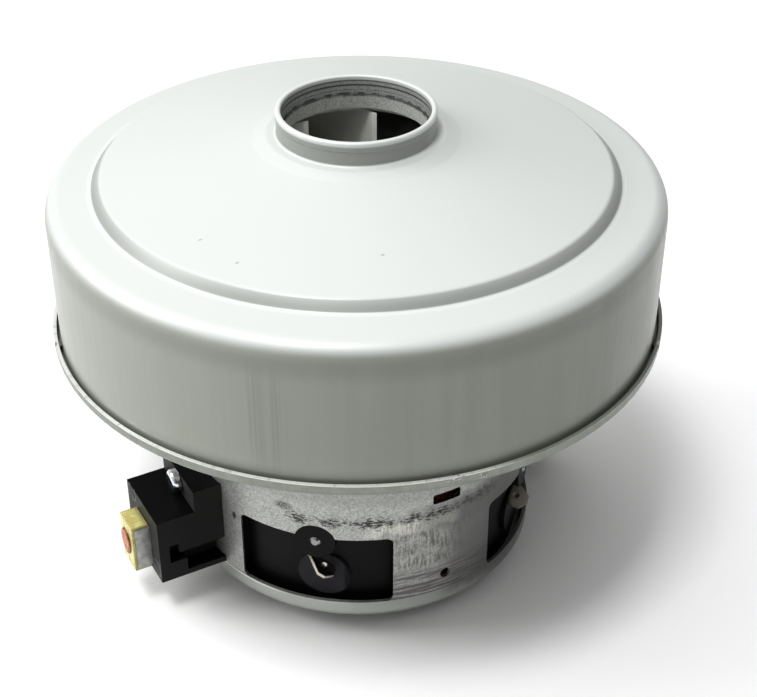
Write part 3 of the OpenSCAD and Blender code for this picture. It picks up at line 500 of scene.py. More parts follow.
def flat_loop(count=56, squareness=0.28):
    """A rounded square from -1 to 1, drawn in X and Y."""
    points = []
    for step in range(count):
        angle = math.tau * step / count
        across, up = (
            math.copysign(abs(value) ** squareness, value) for value in (math.cos(angle), math.sin(angle))
        )
        points.append((across, up, 0.0))
    return points


def draw_marks_group():
    """Long streaks along +Z, as a drawing die leaves them, with masks of upright and of sloping faces."""
    tree, wires, given, out = new_group(
        "Draw marks",
        {"Across": (FLOAT, 1.5), "Along": (FLOAT, 0.03)},
        {"Mark": FLOAT, "Wall": FLOAT, "Slope": FLOAT},
    )
    stretch = wires.joined(given["Across"], given["Across"], given["Along"])
    wires.feed(out["Mark"], wires.stretched(given["Vector"], stretch, 4.0, 0.6))
    normal = wires.node("ShaderNodeNewGeometry").outputs["Normal"]
    tilt = wires.math("ABSOLUTE", wires.axes(normal)["Z"])
    wires.feed(out["Wall"], wires.fall(tilt, 0.2, 0.74))
    wires.feed(out["Slope"], wires.fall(tilt, 0.7, 0.94))
    return tree


def soft_spot_group():
    """One soft-edged patch: 1 at its centre, 0 outside its half sizes."""
    tree, wires, given, out = new_group(
        "Soft spot", {"Centre": (VECTOR, (0, 0, 0)), "Half size": (VECTOR, (1, 1, 1))}, {"Share": FLOAT}
    )
    away = wires.vector("SUBTRACT", given["Vector"], given["Centre"])
    reach = wires.vector("LENGTH", wires.vector("DIVIDE", away, given["Half size"]))
    wires.feed(out["Share"], wires.fall(reach, 0.35, 1.0))
    return tree


def specks_group():
    """A few tiny specks of dust or dirt, scattered with wide gaps."""
    tree, wires, given, out = new_group(
        "Specks", {"Spacing": (FLOAT, 10.0), "Size": (FLOAT, 0.3), "Kept": (FLOAT, 0.2)}, {"Share": FLOAT}
    )
    scale = wires.math("DIVIDE", 1.0, given["Spacing"])
    cells = wires.node("ShaderNodeTexVoronoi", Vector=given["Vector"], Scale=scale).outputs
    near = wires.math("LESS_THAN", wires.times(cells["Distance"], given["Spacing"]), given["Size"])
    pick = wires.node("ShaderNodeSeparateColor", Color=cells["Color"]).outputs["Red"]
    wires.feed(out["Share"], wires.times(near, wires.math("LESS_THAN", pick, given["Kept"])))
    return tree


def grain_group():
    """Fine grain of a moulded, cast or felted surface, and broad patches."""
    tree, wires, given, out = new_group("Grain", {"Scale": (FLOAT, 3.0)}, {"Fine": FLOAT, "Broad": FLOAT})
    wires.feed(out["Fine"], wires.noise(given["Vector"], given["Scale"], 3.0, 0.6))
    wires.feed(out["Broad"], wires.noise(given["Vector"], wires.times(given["Scale"], 0.06), 3.0, 0.55))
    return tree


def ring_line_group():
    """A fine line round the axis at one height, broken up where the noise is low."""
    tree, wires, given, out = new_group(
        "Ring line",
        {"Height": (FLOAT, 0.0), "Half width": (FLOAT, 0.2), "Broken": (FLOAT, 0.0)},
        {"Share": FLOAT},
    )
    away = wires.math("SUBTRACT", wires.axes(given["Vector"])["Z"], given["Height"])
    line = wires.fall(wires.math("DIVIDE", wires.math("ABSOLUTE", away), given["Half width"]), 0.4, 1.0)
    whole = wires.ramp(wires.noise(given["Vector"], 0.55, 2.0), 0.42, 0.55)
    kept = wires.outside(wires.times(given["Broken"], wires.outside(whole)))
    wires.feed(out["Share"], wires.times(line, kept))
    return tree


def unroll_group():
    """Lays a surface of revolution out flat: length round a wall, height and distance from the axis."""
    tree, wires, given, out = new_group(
        "Unroll",
        {"Radius": (FLOAT, CAN_R)},
        {"Round": FLOAT, "Height": FLOAT, "Reach": FLOAT, "Flat": VECTOR},
    )
    axes = wires.axes(given["Vector"])
    turn = wires.math("ARCTAN2", axes["X"], wires.times(axes["Y"], -1.0))
    length = wires.times(turn, given["Radius"])
    wires.feed(out["Round"], length)
    wires.feed(out["Height"], axes["Z"])
    wires.feed(out["Reach"], wires.vector("LENGTH", wires.joined(axes["X"], axes["Y"])))
    wires.feed(out["Flat"], wires.joined(length, axes["Z"]))
    return tree


class Finish:
    """One material: a Principled shader on Object coordinates in millimetres, painted coat by coat."""

    def __init__(self, name, colour=None):
        self.material = bpy.data.materials.new(name)
        self.material.use_nodes = True
        tree = self.material.node_tree
        self.wires = Wiring(tree)
        self.shader = tree.nodes["Principled BSDF"]
        self.colour = colour
        place = self.wires.node("ShaderNodeTexCoord").outputs["Object"]
        self.mm = self.wires.vector("MULTIPLY", place, (1 / MM, 1 / MM, 1 / MM))
        self.axes = self.wires.axes(self.mm)

    def effect(self, name, **inputs):
        """Outputs of a shared shader group laid on this piece."""
        settings = {"node_tree": GROUPS[name]}
        return self.wires.node("ShaderNodeGroup", settings, Vector=self.mm, **inputs).outputs

    def paint(self, colour, *masks):
        """Lays a colour over what is there, as far as the product of the masks."""
        self.colour = self.wires.blend(self.wires.times(*masks), self.colour, colour)

    def normal(self):
        return self.wires.node("ShaderNodeNewGeometry").outputs["Normal"]

    def done(self, height=None, depth=0.0, strength=0.0, **inputs):
        """Sets the shader's inputs and any bump, with a depth in millimetres, and hands the material over."""
        inputs["Base_Color"] = self.colour
        if height is not None:
            bump = self.wires.node("ShaderNodeBump", Strength=strength, Distance=depth * MM, Height=height)
            inputs["Normal"] = bump.outputs["Normal"]
        for name, value in inputs.items():
            self.wires.feed(self.shader.inputs[name.replace("_", " ")], value)
        return self.material


def cover_sheet(look):
    """Pale satin sheet: faint draw marks on the skirt, a rubbed patch, specks and a scored inlet bore, with
    painted shade on its upright walls, step, collar, shoulder and skirt foot, and painted highlights on the
    step's foot and the inlet rim.
    """
    made = Finish("cover_sheet", look.cover_colour)
    wires = made.wires
    place = made.effect("unroll", Radius=COVER_R)
    reach, height = place["Reach"], place["Height"]
    marks = made.effect("draw_marks", Across=0.9, Along=0.02)
    fine = made.effect("draw_marks", Across=3.4, Along=0.012)["Mark"]
    broad = made.effect("draw_marks", Across=0.42, Along=0.008)["Mark"]
    wall = marks["Wall"]
    # Painted shade: the cover's upright walls are darker than its top
    made.paint((0.437, 0.464, 0.400), wall)

    # Painted shade on the step's sloping faces, deeper towards its foot
    step = wires.times(marks["Slope"], wires.between(reach, 54.8, 57.1, 0.8))
    made.paint((0.33, 0.345, 0.325), step, wires.ramp(reach, 54.4, 57.0, 0.3, 1.0))
    # Painted highlight along the foot of the step
    step_foot_highlight = wires.between(reach, 57.6, 58.1, 0.5)
    made.paint((0.78, 0.81, 0.79), step_foot_highlight, 0.5)
    # Painted shade on the collar's upright outside
    collar_shade = wires.times(wall, wires.fall(reach, 18.0, 19.0))
    made.paint((0.30, 0.31, 0.29), collar_shade)
    # Painted shade on the skirt just under its top corner
    shoulder_shade = wires.times(wall, wires.between(height, 92.6, 95.2, 4.5))
    made.paint((0.28, 0.29, 0.255), shoulder_shade, 0.52)
    # Painted highlight on the top of the inlet rim
    rim = wires.times(wires.ramp(height, 112.3, 112.8), wires.fall(reach, 17.9, 18.1))
    made.paint((0.74, 0.765, 0.745), rim)
    # Painted shade on the skirt's foot, above the lip
    skirt_foot_shade = wires.ramp(height, 65.6, 69.5, 0.75, 0.0)
    made.paint((0.17, 0.175, 0.15), skirt_foot_shade)

    streak = wires.times(wires.ramp(marks["Mark"], 0.35, 0.7), wall)
    made.paint((0.42, 0.43, 0.38), streak, 0.07)
    cloud = wires.noise(made.mm, 0.03, 3.0)
    made.paint((0.62, 0.64, 0.62), wires.ramp(cloud, 0.4, 0.75, 0.0, 0.08))
    patch = made.effect("soft_spot", Centre=RUBBED_PLACE, Half_size=(6.0, 6.0, 19.0))["Share"]
    lines = wires.times(wires.ramp(fine, 0.36, 0.66, 0.25, 1.0), wires.ramp(broad, 0.40, 0.56, 0.2, 1.0))
    made.paint((0.20, 0.20, 0.18), patch, lines, 0.34)
    speck = made.effect("specks", Spacing=13.0, Size=0.22, Kept=0.2)["Share"]
    for centre in SPECK_PLACES:
        spot = made.effect("soft_spot", Centre=centre, Half_size=(0.6, 0.35, 1.0))["Share"]
        speck = wires.math("MAXIMUM", speck, spot)
    made.paint((0.22, 0.21, 0.19), speck, 0.55)

    bore = wires.times(wires.fall(reach, BORE_R + 0.1, BORE_R + 0.2), wires.fall(height, 112.3, 112.7))
    grit = wires.noise(made.mm, 2.6, 3.0, 0.7)
    scored = wires.blend(wires.ramp(grit, 0.3, 0.7), (0.24, 0.25, 0.237), (0.45, 0.468, 0.445))
    for level, half_width, broken, dark in BORE_LINES:
        line = made.effect("ring_line", Height=level, Half_width=half_width, Broken=broken)["Share"]
        scored = wires.blend(wires.times(line, dark), scored, (0.02, 0.02, 0.02))
    made.paint(scored, bore)
    return made.done(
        wires.math("ADD", wires.times(fine, wall), wires.times(grit, bore, 3.0)),
        0.03,
        0.3,
        Metallic=look.cover_metal,
        Roughness=wires.ramp(wires.math("ADD", streak, wires.times(cloud, 0.5)), 0.0, 1.2, 0.40, 0.54),
        Specular_IOR_Level=0.42,
        Coat_Weight=wires.times(wall, 0.45),
        Coat_Roughness=0.22,
    )


class CanSurface:
    """Where a spot lies on the can, and the noises that its marks share."""

    def __init__(self, made):
        wires = made.wires
        place = made.effect("unroll", Radius=CAN_R)
        self.length = place["Round"]
        self.height = place["Height"]
        self.reach = place["Reach"]
        self.flat = place["Flat"]
        self.band = wires.fall(self.height, BAND_TOP - 0.1, BAND_TOP + 0.1)
        self.lip = wires.ramp(self.reach, 46.0, 62.0)
        self.smooth = wires.math("MAXIMUM", self.band, self.lip)
        self.grain = wires.noise(made.mm, 3.0, 4.0, 0.8)
        cells = wires.node("ShaderNodeTexVoronoi", Vector=made.mm, Scale=2.5)
        flake = wires.node("ShaderNodeSeparateColor", Color=cells.outputs["Color"]).outputs["Red"]
        self.spangle = wires.math("ADD", wires.times(flake, 0.2), wires.times(self.grain, 0.8))
        self.upright = wires.stretched(self.flat, (1.9, 0.22, 1.0), 4.0, 0.7)
        self.patchy = wires.stretched(self.flat, (0.25, 0.2, 1.0), 3.0)
        wander = wires.stretched(self.flat, (0.32, 0.0, 1.0), 4.0, 0.7)
        belt = wires.math("ADD", wires.times(wander, 5.0), 30.7)
        self.below = wires.math("SUBTRACT", belt, self.height)


def lip_wear(made, can):
    """Darker brushed sides, a painted highlight along the crest with two chipped spots, and painted shade in
    the gap behind the lip.
    """
    wires = made.wires
    # Darker brushed sides of the lip
    brushed = wires.stretched(can.flat, (0.8, 0.3, 1.0), 3.0, 0.6)
    made.paint((0.225, 0.24, 0.205), can.lip, wires.ramp(brushed, 0.3, 0.7, 0.76, 0.92))
    # Painted highlight along the lip's crest, faded out towards the right
    crest_highlight = wires.times(wires.between(can.height, LIP_TOP - 0.15, LIP_TOP, 0.08), can.lip)
    crest_lit = wires.ramp(wires.between(can.length, -96.0, -8.0, 12.0), 0.0, 1.0, 0.12, 1.0)
    made.paint((0.95, 0.96, 0.93), crest_highlight, wires.ramp(brushed, 0.3, 0.5, 0.6, 1.0), crest_lit)
    for centre, half_size in LIP_CHIPS:
        chip = made.effect("soft_spot", Centre=centre, Half_size=half_size)["Share"]
        made.paint((0.10, 0.10, 0.09), chip, wires.ramp(can.grain, 0.48, 0.40))
        made.paint((0.95, 0.95, 0.92), chip, wires.ramp(can.grain, 0.53, 0.60))
    # Painted shade in the gap between the lip and the skirt
    gap = wires.times(can.lip, wires.fall(can.reach, 68.2, 68.3), wires.ramp(can.height, 65.0, 65.2))
    made.paint((0.05, 0.05, 0.045), gap, 0.9)


def belt_stains(made, can):
    """Brown runs, painted shade on the right below the belt, a bright strip of rubbed zinc with a painted
    highlight on it, and a haze below the scuffed belt.
    """
    wires = made.wires
    runs = wires.times(wires.between(can.length, -14.0, 3.0, 7.0), wires.between(can.below, 2.0, 13.0, 4.0))
    dark = wires.times(wires.ramp(can.upright, 0.60, 0.44), wires.ramp(can.patchy, 0.36, 0.58, 0.35, 1.0))
    made.paint((0.14, 0.135, 0.118), runs, dark, 0.9)
    # Painted shade on the right of the wall below the belt
    belt_shade = wires.times(wires.between(can.length, 4.0, 30.0, 7.0), wires.between(can.below, 0.0, 24.0, 2.5))
    made.paint((0.20, 0.197, 0.197), belt_shade, 0.85)
    # A bright strip: rubbed zinc, with a painted highlight on it
    strip = wires.times(wires.between(can.below, 1.8, 3.6, 1.5), wires.between(can.length, -17.0, 1.0, 4.0))
    bright = wires.times(wires.ramp(can.patchy, 0.38, 0.52), wires.ramp(can.upright, 0.3, 0.52, 0.35, 1.0))
    made.paint((0.93, 0.925, 0.84), strip, bright, wires.ramp(can.grain, 0.40, 0.58, 0.45, 0.85))
    haze = wires.times(wires.between(can.length, -3.0, 18.0, 6.0), wires.between(can.below, -1.5, 4.0, 2.5))
    made.paint((0.17, 0.168, 0.16), haze, wires.ramp(can.upright, 0.36, 0.6, 0.35, 0.7))


def foot_lines(made, can):
    """A dull foot of the wall with dark lines running round it."""
    wires = made.wires
    front = wires.between(can.length, -18.0, 30.0, 8.0)
    foot = wires.times(front, wires.between(can.height, 10.0, 15.5, 3.5))
    made.paint((0.27, 0.26, 0.26), foot, 0.3)
    level = wires.stretched(can.flat, (0.07, 1.5, 1.0), 4.0, 0.75)
    made.paint((0.12, 0.11, 0.11), foot, wires.outside(can.band), wires.ramp(level, 0.56, 0.47), 0.8)


def scuffed_belt(made, can):
    """The broken dark belt, a dent above it and a nick on the left."""
    wires = made.wires
    fleck = wires.stretched(can.flat, (0.8, 2.2, 1.0), 5.0, 0.68)
    away = wires.times(wires.math("ABSOLUTE", can.below), 0.075)
    gaps = wires.stretched(can.flat, (0.14, 0.0, 1.0), 2.0)
    thin = wires.ramp(gaps, 0.33, 0.58, 0.11, -0.05)
    score = wires.math("SUBTRACT", fleck, wires.math("ADD", away, thin))
    scuff = wires.times(wires.ramp(score, 0.42, 0.54), wires.between(can.length, -36.0, 14.0, 8.0))
    dent = made.effect("soft_spot", Centre=DENT_PLACE, Half_size=(3.0, 3.0, 1.6))["Share"]
    nick = made.effect("soft_spot", Centre=NICK_PLACE, Half_size=(1.5, 0.9, 1.5))["Share"]
    spots = wires.math("MAXIMUM", wires.times(dent, wires.ramp(can.grain, 0.35, 0.6)), nick)
    made.paint((0.03, 0.03, 0.028), wires.math("MAXIMUM", scuff, spots), 0.95)


def cut_edges(made, can):
    """Bright cut edges round the windows, and painted shade on those in the small slot."""
    wires = made.wires
    normal = made.normal()
    outward = wires.vector("NORMALIZE", wires.vector("MULTIPLY", made.mm, (1.0, 1.0, 0.0)))
    facing = wires.math("ABSOLUTE", wires.vector("DOT_PRODUCT", normal, outward))
    lying = wires.math("ABSOLUTE", wires.vector("DOT_PRODUCT", normal, (0.0, 0.0, 1.0)))
    edge = wires.fall(facing, 0.3, 0.5)
    made.paint((0.90, 0.91, 0.88), edge, wires.fall(lying, 0.3, 0.5))
    # Painted shade: the cut edges in the small slot are made near black
    slot = wires.times(wires.between(can.height, 35.5, 38.5, 0.1), wires.between(can.length, -6.0, 6.0, 0.5))
    made.paint((0.03, 0.026, 0.022), slot, edge)


def wall_shade_and_lines(made, can):
    """Painted shade on the right side and on the wall under the flange, a dark line along the foot band, and
    a painted highlight on its ridge on the left.
    """
    wires = made.wires
    # Painted shade on the right side of the can
    right = wires.between(can.length, 20.0, 42.0, 18.0)
    made.paint((0.155, 0.153, 0.15), right, wires.ramp(can.reach, 42.0, 44.0, 0.85, 0.0))
    # Painted shade on the wall under the flange
    under = wires.times(wires.ramp(can.height, 36.5, 39.5, 0.0, 0.3), wires.fall(can.reach, 42.5, 44.0))
    made.paint((0.24, 0.245, 0.23), under)
    edge = made.effect("ring_line", Height=BAND_TOP + 0.15, Half_width=0.22, Broken=0.3)["Share"]
    made.paint((0.12, 0.12, 0.12), edge, 0.6)
    # Painted highlight along the foot band's ridge, on the left side only
    ridge_highlight = made.effect("ring_line", Height=BAND_TOP - 0.3, Half_width=0.35, Broken=0.2)["Share"]
    made.paint((0.95, 0.95, 0.93), ridge_highlight, wires.between(can.length, -70.0, -44.0, 8.0))


def galvanised_sheet(look):
    """Zinc-coated steel: fine grain, a scuffed belt with stains under it, worn edges and a smooth foot band,
    with painted shade and highlights.
    """
    made = Finish("galvanised_sheet")
    wires = made.wires
    can = CanSurface(made)
    made.colour = wires.blend(wires.ramp(can.spangle, 0.33, 0.64), (0.36, 0.37, 0.35), look.zinc_colour)
    even = wires.blend(wires.ramp(can.grain, 0.2, 0.8), (0.50, 0.52, 0.48), (0.57, 0.59, 0.55))
    made.paint(even, can.smooth)
    lip_wear(made, can)
    belt_stains(made, can)
    foot_lines(made, can)
    scuffed_belt(made, can)
    cut_edges(made, can)
    wall_shade_and_lines(made, can)
    rough = wires.math("SUBTRACT", can.spangle, wires.times(can.smooth, 0.2))
    return made.done(
        wires.times(can.spangle, wires.outside(can.smooth)),
        0.05,
        0.35,
        Metallic=look.zinc_metal,
        Roughness=wires.ramp(rough, 0.2, 0.8, 0.34, 0.52),
    )


def bare_metal(name, colour, tarnish, roughness, metallic, scale):
    """Bare metal with a broad tarnish and a fine grain."""
    made = Finish(name, colour)
    wires = made.wires
    grain = made.effect("grain", Scale=scale)
    made.paint(tarnish, wires.ramp(grain["Broad"], 0.35, 0.7))
    made.paint(tarnish, wires.ramp(grain["Fine"], 0.45, 0.8, 0.0, 0.1))
    rough = wires.ramp(grain["Fine"], 0.2, 0.8, roughness - 0.07, roughness + 0.1)
    return made.done(grain["Fine"], 0.01, 0.15, Metallic=metallic, Roughness=rough)


def rolled_brass():
    """Folded brass strip: a smooth yellow skin with faint rolling lines, darker towards the holder and down
    the folded sides.
    """
    made = Finish("brass_strip", (0.99, 0.94, 0.37))
    wires = made.wires
    broad = made.effect("grain", Scale=6.0)["Broad"]
    made.paint((0.80, 0.69, 0.22), wires.ramp(broad, 0.38, 0.62))
    outer = wires.math("ABSOLUTE", made.axes["X"])
    side = wires.math("ABSOLUTE", made.axes["Y"])
    # Darker towards the holder and down the folded sides
    root = wires.ramp(outer, 56.9, 58.4, 0.6, 0.0)
    fold = wires.ramp(side, 3.0, 3.5, 0.0, 0.6)
    made.paint((0.30, 0.24, 0.07), wires.math("MAXIMUM", root, fold))
    rolled = wires.stretched(made.mm, (0.25, 2.2, 0.25), 3.0, 0.6)
    return made.done(rolled, 0.006, 0.2, Metallic=0.4, Roughness=wires.ramp(rolled, 0.3, 0.7, 0.24, 0.36))


def tinned_tab():
    """Tinned brass: the left tab is still smooth and bright, the right one has gone dull."""
    made = Finish("tinned_tab", (0.55, 0.50, 0.43))
    wires = made.wires
    grain = made.effect("grain", Scale=3.0)
    made.paint((0.44, 0.39, 0.32), wires.ramp(grain["Broad"], 0.35, 0.7))
    dull = wires.ramp(made.axes["X"], -1.0, 1.0)
    return made.done(
        grain["Fine"],
        0.01,
        0.15,
        Metallic=wires.ramp(dull, 0.0, 1.0, 1.0, 0.35),
        Roughness=wires.ramp(dull, 0.0, 1.0, 0.2, 0.42),
    )


def weld_copper():
    """Copper squeezed flat by a welding electrode: lumpy, and burnt brown round its rim."""
    made = Finish("weld_copper", (0.34, 0.09, 0.035))
    wires = made.wires
    lumps = wires.noise(made.mm, 0.9, 4.0, 0.65)
    made.paint((0.88, 0.36, 0.17), wires.ramp(lumps, 0.38, 0.6))
    side = wires.times(made.axes["Y"], wires.math("SIGN", made.axes["X"]))
    across = wires.math("DIVIDE", wires.math("ADD", side, WELD_CENTRE[1]), WELD_HALF[0])
    up = wires.math("DIVIDE", wires.math("SUBTRACT", made.axes["Z"], WELD_CENTRE[2]), WELD_HALF[1])
    away = wires.vector("LENGTH", wires.joined(across, up))
    made.paint((0.12, 0.045, 0.025), wires.ramp(away, 0.72, 0.98, 0.0, 0.8))
    return made.done(lumps, 0.5, 0.7, Metallic=0.6, Roughness=wires.ramp(lumps, 0.35, 0.65, 0.26, 0.44))


def moulding(name, colour, patches, roughness, scale, shine):
    """Moulded plastic, resin, rubber or fibre: an even colour with a fine grain and faint patches."""
    made = Finish(name, colour)
    wires = made.wires
    grain = made.effect("grain", Scale=scale)
    made.paint(patches, wires.ramp(grain["Broad"], 0.5, 0.8), 0.5)
    rough = wires.ramp(grain["Fine"], 0.2, 0.8, roughness - 0.06, roughness + 0.1)
    return made.done(grain["Fine"], 0.03, 0.4, Specular_IOR_Level=shine, Roughness=rough)


def black_grain(made, shine):
    """Ends a black moulding with its fine grain."""
    grain = made.effect("grain", Scale=4.0)["Fine"]
    rough = made.wires.ramp(grain, 0.2, 0.8, 0.4, 0.55)
    return made.done(grain, 0.03, 0.35, Roughness=rough, Specular_IOR_Level=shine)


def holder_moulding(look):
    """Black moulding with painted shade on its top faces, and two faint round marks on its end face, at
    opposite corners.
    """
    made = Finish("holder_moulding", look.plastic_colour)
    wires = made.wires
    # Painted shade: the top faces are darker
    made.paint((0.004, 0.004, 0.0045), wires.ramp(wires.axes(made.normal())["Z"], 0.5, 0.9))
    outer = wires.math("ABSOLUTE", made.axes["X"])
    side = wires.times(made.axes["Y"], wires.math("SIGN", made.axes["X"]), -1.0)
    face = wires.joined(outer, side, made.axes["Z"])
    rings = []
    for centre in HOLDER_MARKS:
        away = wires.math("SUBTRACT", wires.vector("DISTANCE", face, centre), 2.1)
        rings.append(wires.fall(wires.math("ABSOLUTE", away), 0.1, 0.4))
    made.paint((0.16, 0.16, 0.17), wires.math("MAXIMUM", *rings), wires.ramp(outer, 56.4, 56.5, 0.0, 0.8))
    return black_grain(made, 0.05)


def carrier_moulding():
    """Black moulding with a paler round pad on its face, plainer on the right of the front post."""
    made = Finish("carrier_moulding", (0.003, 0.003, 0.0035))
    wires = made.wires
    mirrored = wires.joined(wires.math("ABSOLUTE", made.axes["X"]), made.axes["Y"], made.axes["Z"])
    spot = wires.fall(wires.vector("DISTANCE", mirrored, PAD_PLACE), 6.15, 6.35)
    reach = made.effect("unroll")["Reach"]
    face = wires.times(wires.ramp(reach, 38.7, 38.8), wires.fall(reach, 39.5, 39.7))
    made.paint((0.045, 0.045, 0.052), spot, face, wires.ramp(made.axes["X"], -1.0, 1.0, 1.0, 0.1))
    return black_grain(made, 0.1)


def seal_ring():
    """Gritty grey ring: coarse light and dark grains, a dark top, and a torn dark line round it."""
    made = Finish("seal_ring", (0.28, 0.29, 0.272))
    wires = made.wires
    grit = wires.noise(made.mm, 2.6, 4.0, 0.75)
    made.paint((0.57, 0.59, 0.555), wires.ramp(grit, 0.32, 0.68))
    made.paint((0.03, 0.03, 0.03), wires.ramp(wires.axes(made.normal())["Z"], 0.3, 0.6))
    line = made.effect("ring_line", Height=109.05, Half_width=0.4, Broken=0.6)["Share"]
    made.paint((0.03, 0.03, 0.03), line, 0.8)
    return made.done(grit, 0.12, 0.5, Roughness=0.7)


def laminated_steel():
    """Stacked core sheets: fine dark lines between them."""
    made = Finish("laminated_steel", (0.20, 0.205, 0.21))
    wires = made.wires
    sheet_t = 0.5
    grain = made.effect("grain", Scale=1.5)["Fine"]
    made.paint((0.34, 0.345, 0.35), wires.ramp(grain, 0.3, 0.7))
    line = wires.fall(wires.math("FRACT", wires.math("DIVIDE", made.axes["Z"], sheet_t)), 0.0, 0.25)
    made.paint((0.06, 0.055, 0.05), line, 0.8)
    rough = wires.ramp(grain, 0.2, 0.8, 0.4, 0.6)
    return made.done(Metallic=0.8, Roughness=rough)


class MotorSize(bpy.types.PropertyGroup):
    """Sizes that a user would change, of the pieces that are made here."""

    cover_wall: bpy.props.FloatProperty(
        name="Cover wall", description="Thickness of the cover's sheet", unit="LENGTH", default=1.1 * MM
    )
    weld_thickness: bpy.props.FloatProperty(
        name="Weld", description="Thickness of the pressed welds", unit="LENGTH", default=0.55 * MM
    )
    coil_wire: bpy.props.FloatProperty(
        name="Coil wire", description="Radius of the field coils' wire", unit="LENGTH", default=0.48 * MM
    )
    coil_turns: bpy.props.IntProperty(
        name="Coil turns", description="Turns in each layer of a field coil", min=2, default=23
    )
    coil_layers: bpy.props.IntProperty(
        name="Coil layers", description="Layers of wire in a field coil", min=2, default=6
    )
    rotor_wire: bpy.props.FloatProperty(
        name="Rotor wire", description="Radius of the rotor's wire", unit="LENGTH", default=0.42 * MM
    )
    rotor_wires: bpy.props.IntProperty(
        name="Rotor wires", description="Wires that cross the rotor's end from each slot", min=1, default=7
    )


class MotorLook(bpy.types.PropertyGroup):
    """Finishes that a user would change."""

    cover_colour: bpy.props.FloatVectorProperty(
        name="Cover",
        description="Colour of the fan cover",
        subtype="COLOR",
        size=3,
        default=(0.69, 0.72, 0.70),
    )
    cover_metal: bpy.props.FloatProperty(
        name="Cover metal", description="How metallic the cover's coat looks", subtype="FACTOR", default=0.10
    )
    zinc_colour: bpy.props.FloatVectorProperty(
        name="Zinc",
        description="Colour of the galvanised can",
        subtype="COLOR",
        size=3,
        default=(0.66, 0.67, 0.64),
    )
    zinc_metal: bpy.props.FloatProperty(
        name="Zinc metal", description="How metallic the can's coat looks", subtype="FACTOR", default=0.6
    )
    plastic_colour: bpy.props.FloatVectorProperty(
        name="Moulding",
        description="Colour of the black mouldings",
        subtype="COLOR",
        size=3,
        default=(0.045, 0.043, 0.043),
    )


class StudioLook(bpy.types.PropertyGroup):
    """Light and floor that a user would change."""

    overhead_power: bpy.props.FloatProperty(
        name="Overhead light", description="Power of the wide light overhead", unit="POWER", default=20.5
    )
    key_power: bpy.props.FloatProperty(
        name="Key light", description="Power of the soft light above and in front", unit="POWER", default=29.0
    )
    left_power: bpy.props.FloatProperty(
        name="Left light", description="Power of the soft light on the left", unit="POWER", default=5.7
    )
    right_power: bpy.props.FloatProperty(
        name="Right light", description="Power of the soft light on the right", unit="POWER", default=2.0
    )
    room_light: bpy.props.FloatProperty(
        name="Bright side",
        description="Level of the room's light behind and on the left",
        min=0.0,
        default=0.66,
    )
    room_dark: bpy.props.FloatProperty(
        name="Dim side",
        description="Level of the room's light in front and on the right",
        min=0.0,
        default=0.06,
    )
    floor_colour: bpy.props.FloatVectorProperty(
        name="Floor", description="Colour of the floor", subtype="COLOR", size=3, default=(1.0, 1.0, 1.0)
    )


def dress(finish, *names):
    """Gives CAD nodes one finish."""
    for name in names:
        NODES[name].data.materials.clear()
        NODES[name].data.materials.append(FINISHES[finish])


class MOTOR_OT_finishes(bpy.types.Operator):
    """Makes the shader groups and every finish"""

    bl_idname = "motor.finishes"
    bl_label = "Finishes"

    def execute(self, context):
        look = context.scene.motor_look
        GROUPS["draw_marks"] = draw_marks_group()
        GROUPS["soft_spot"] = soft_spot_group()
        GROUPS["specks"] = specks_group()
        GROUPS["ring_line"] = ring_line_group()
        GROUPS["unroll"] = unroll_group()
        GROUPS["grain"] = grain_group()
        FINISHES["cover"] = cover_sheet(look)
        FINISHES["zinc"] = galvanised_sheet(look)
        FINISHES["core"] = laminated_steel()
        FINISHES["brass"] = rolled_brass()
        FINISHES["tab"] = tinned_tab()
        FINISHES["weld"] = weld_copper()
        FINISHES["holder"] = holder_moulding(look)
        FINISHES["carrier"] = carrier_moulding()
        FINISHES["seal"] = seal_ring()
        patches = (0.014, 0.0135, 0.013)
        FINISHES["black"] = moulding("black_moulding", look.plastic_colour, patches, 0.4, 4.0, 0.15)
        for finish, *values in BARE_METALS:
            FINISHES[finish] = bare_metal(*values)
        for finish, *values in MOULDINGS:
            FINISHES[finish] = moulding(*values)
        return {"FINISHED"}


class MOTOR_OT_case(bpy.types.Operator):
    """Turns the fan cover, and finishes it, the can and the inlet seal"""

    bl_idname = "motor.case"
    bl_label = "Case"

    def execute(self, context):
        wall = context.scene.motor_size.cover_wall / MM
        outside = bent([*COVER_PATH, *RIM_PATH])
        inside = bent(beside([*COVER_PATH[:-1], (COLLAR_R, RIM_FOOT, 0.0)], wall))
        cover = lathe("fan_cover", outside[:-1] + inside[::-1])
        cover.materials.append(FINISHES["cover"])
        shown("drawn_cover", cover, "housing", ["fan_cover"])
        dress("zinc", "motor_frame", "bearing_bracket")
        dress("seal", "inlet_seal")
        dress("steel", "bracket_screws")
        dress("black", "diffuser")
        return {"FINISHED"}


class MOTOR_OT_fan(bpy.types.Operator):
    """Finishes the fan wheel and what clamps it"""

    bl_idname = "motor.fan"
    bl_label = "Fan wheel"

    def execute(self, context):
        dress("aluminium", "impeller_shroud")
        dress("blade", "impeller_blades")
        dress("plate", "impeller_backplate")
        dress("steel", "impeller_washers", "impeller_nut", "spacer_sleeve")
        return {"FINISHED"}


class MOTOR_OT_bearings(bpy.types.Operator):
    """Finishes both ball bearings and the rubber ring"""

    bl_idname = "motor.bearings"
    bl_label = "Bearings"

    def execute(self, context):
        for end in ("upper_bearing", "lower_bearing"):
            dress("bearing", f"{end}_outer_ring", f"{end}_inner_ring", f"{end}_balls")
            dress("steel", f"{end}_cage", f"{end}_shields")
        dress("rubber", "bearing_damper")
        return {"FINISHED"}


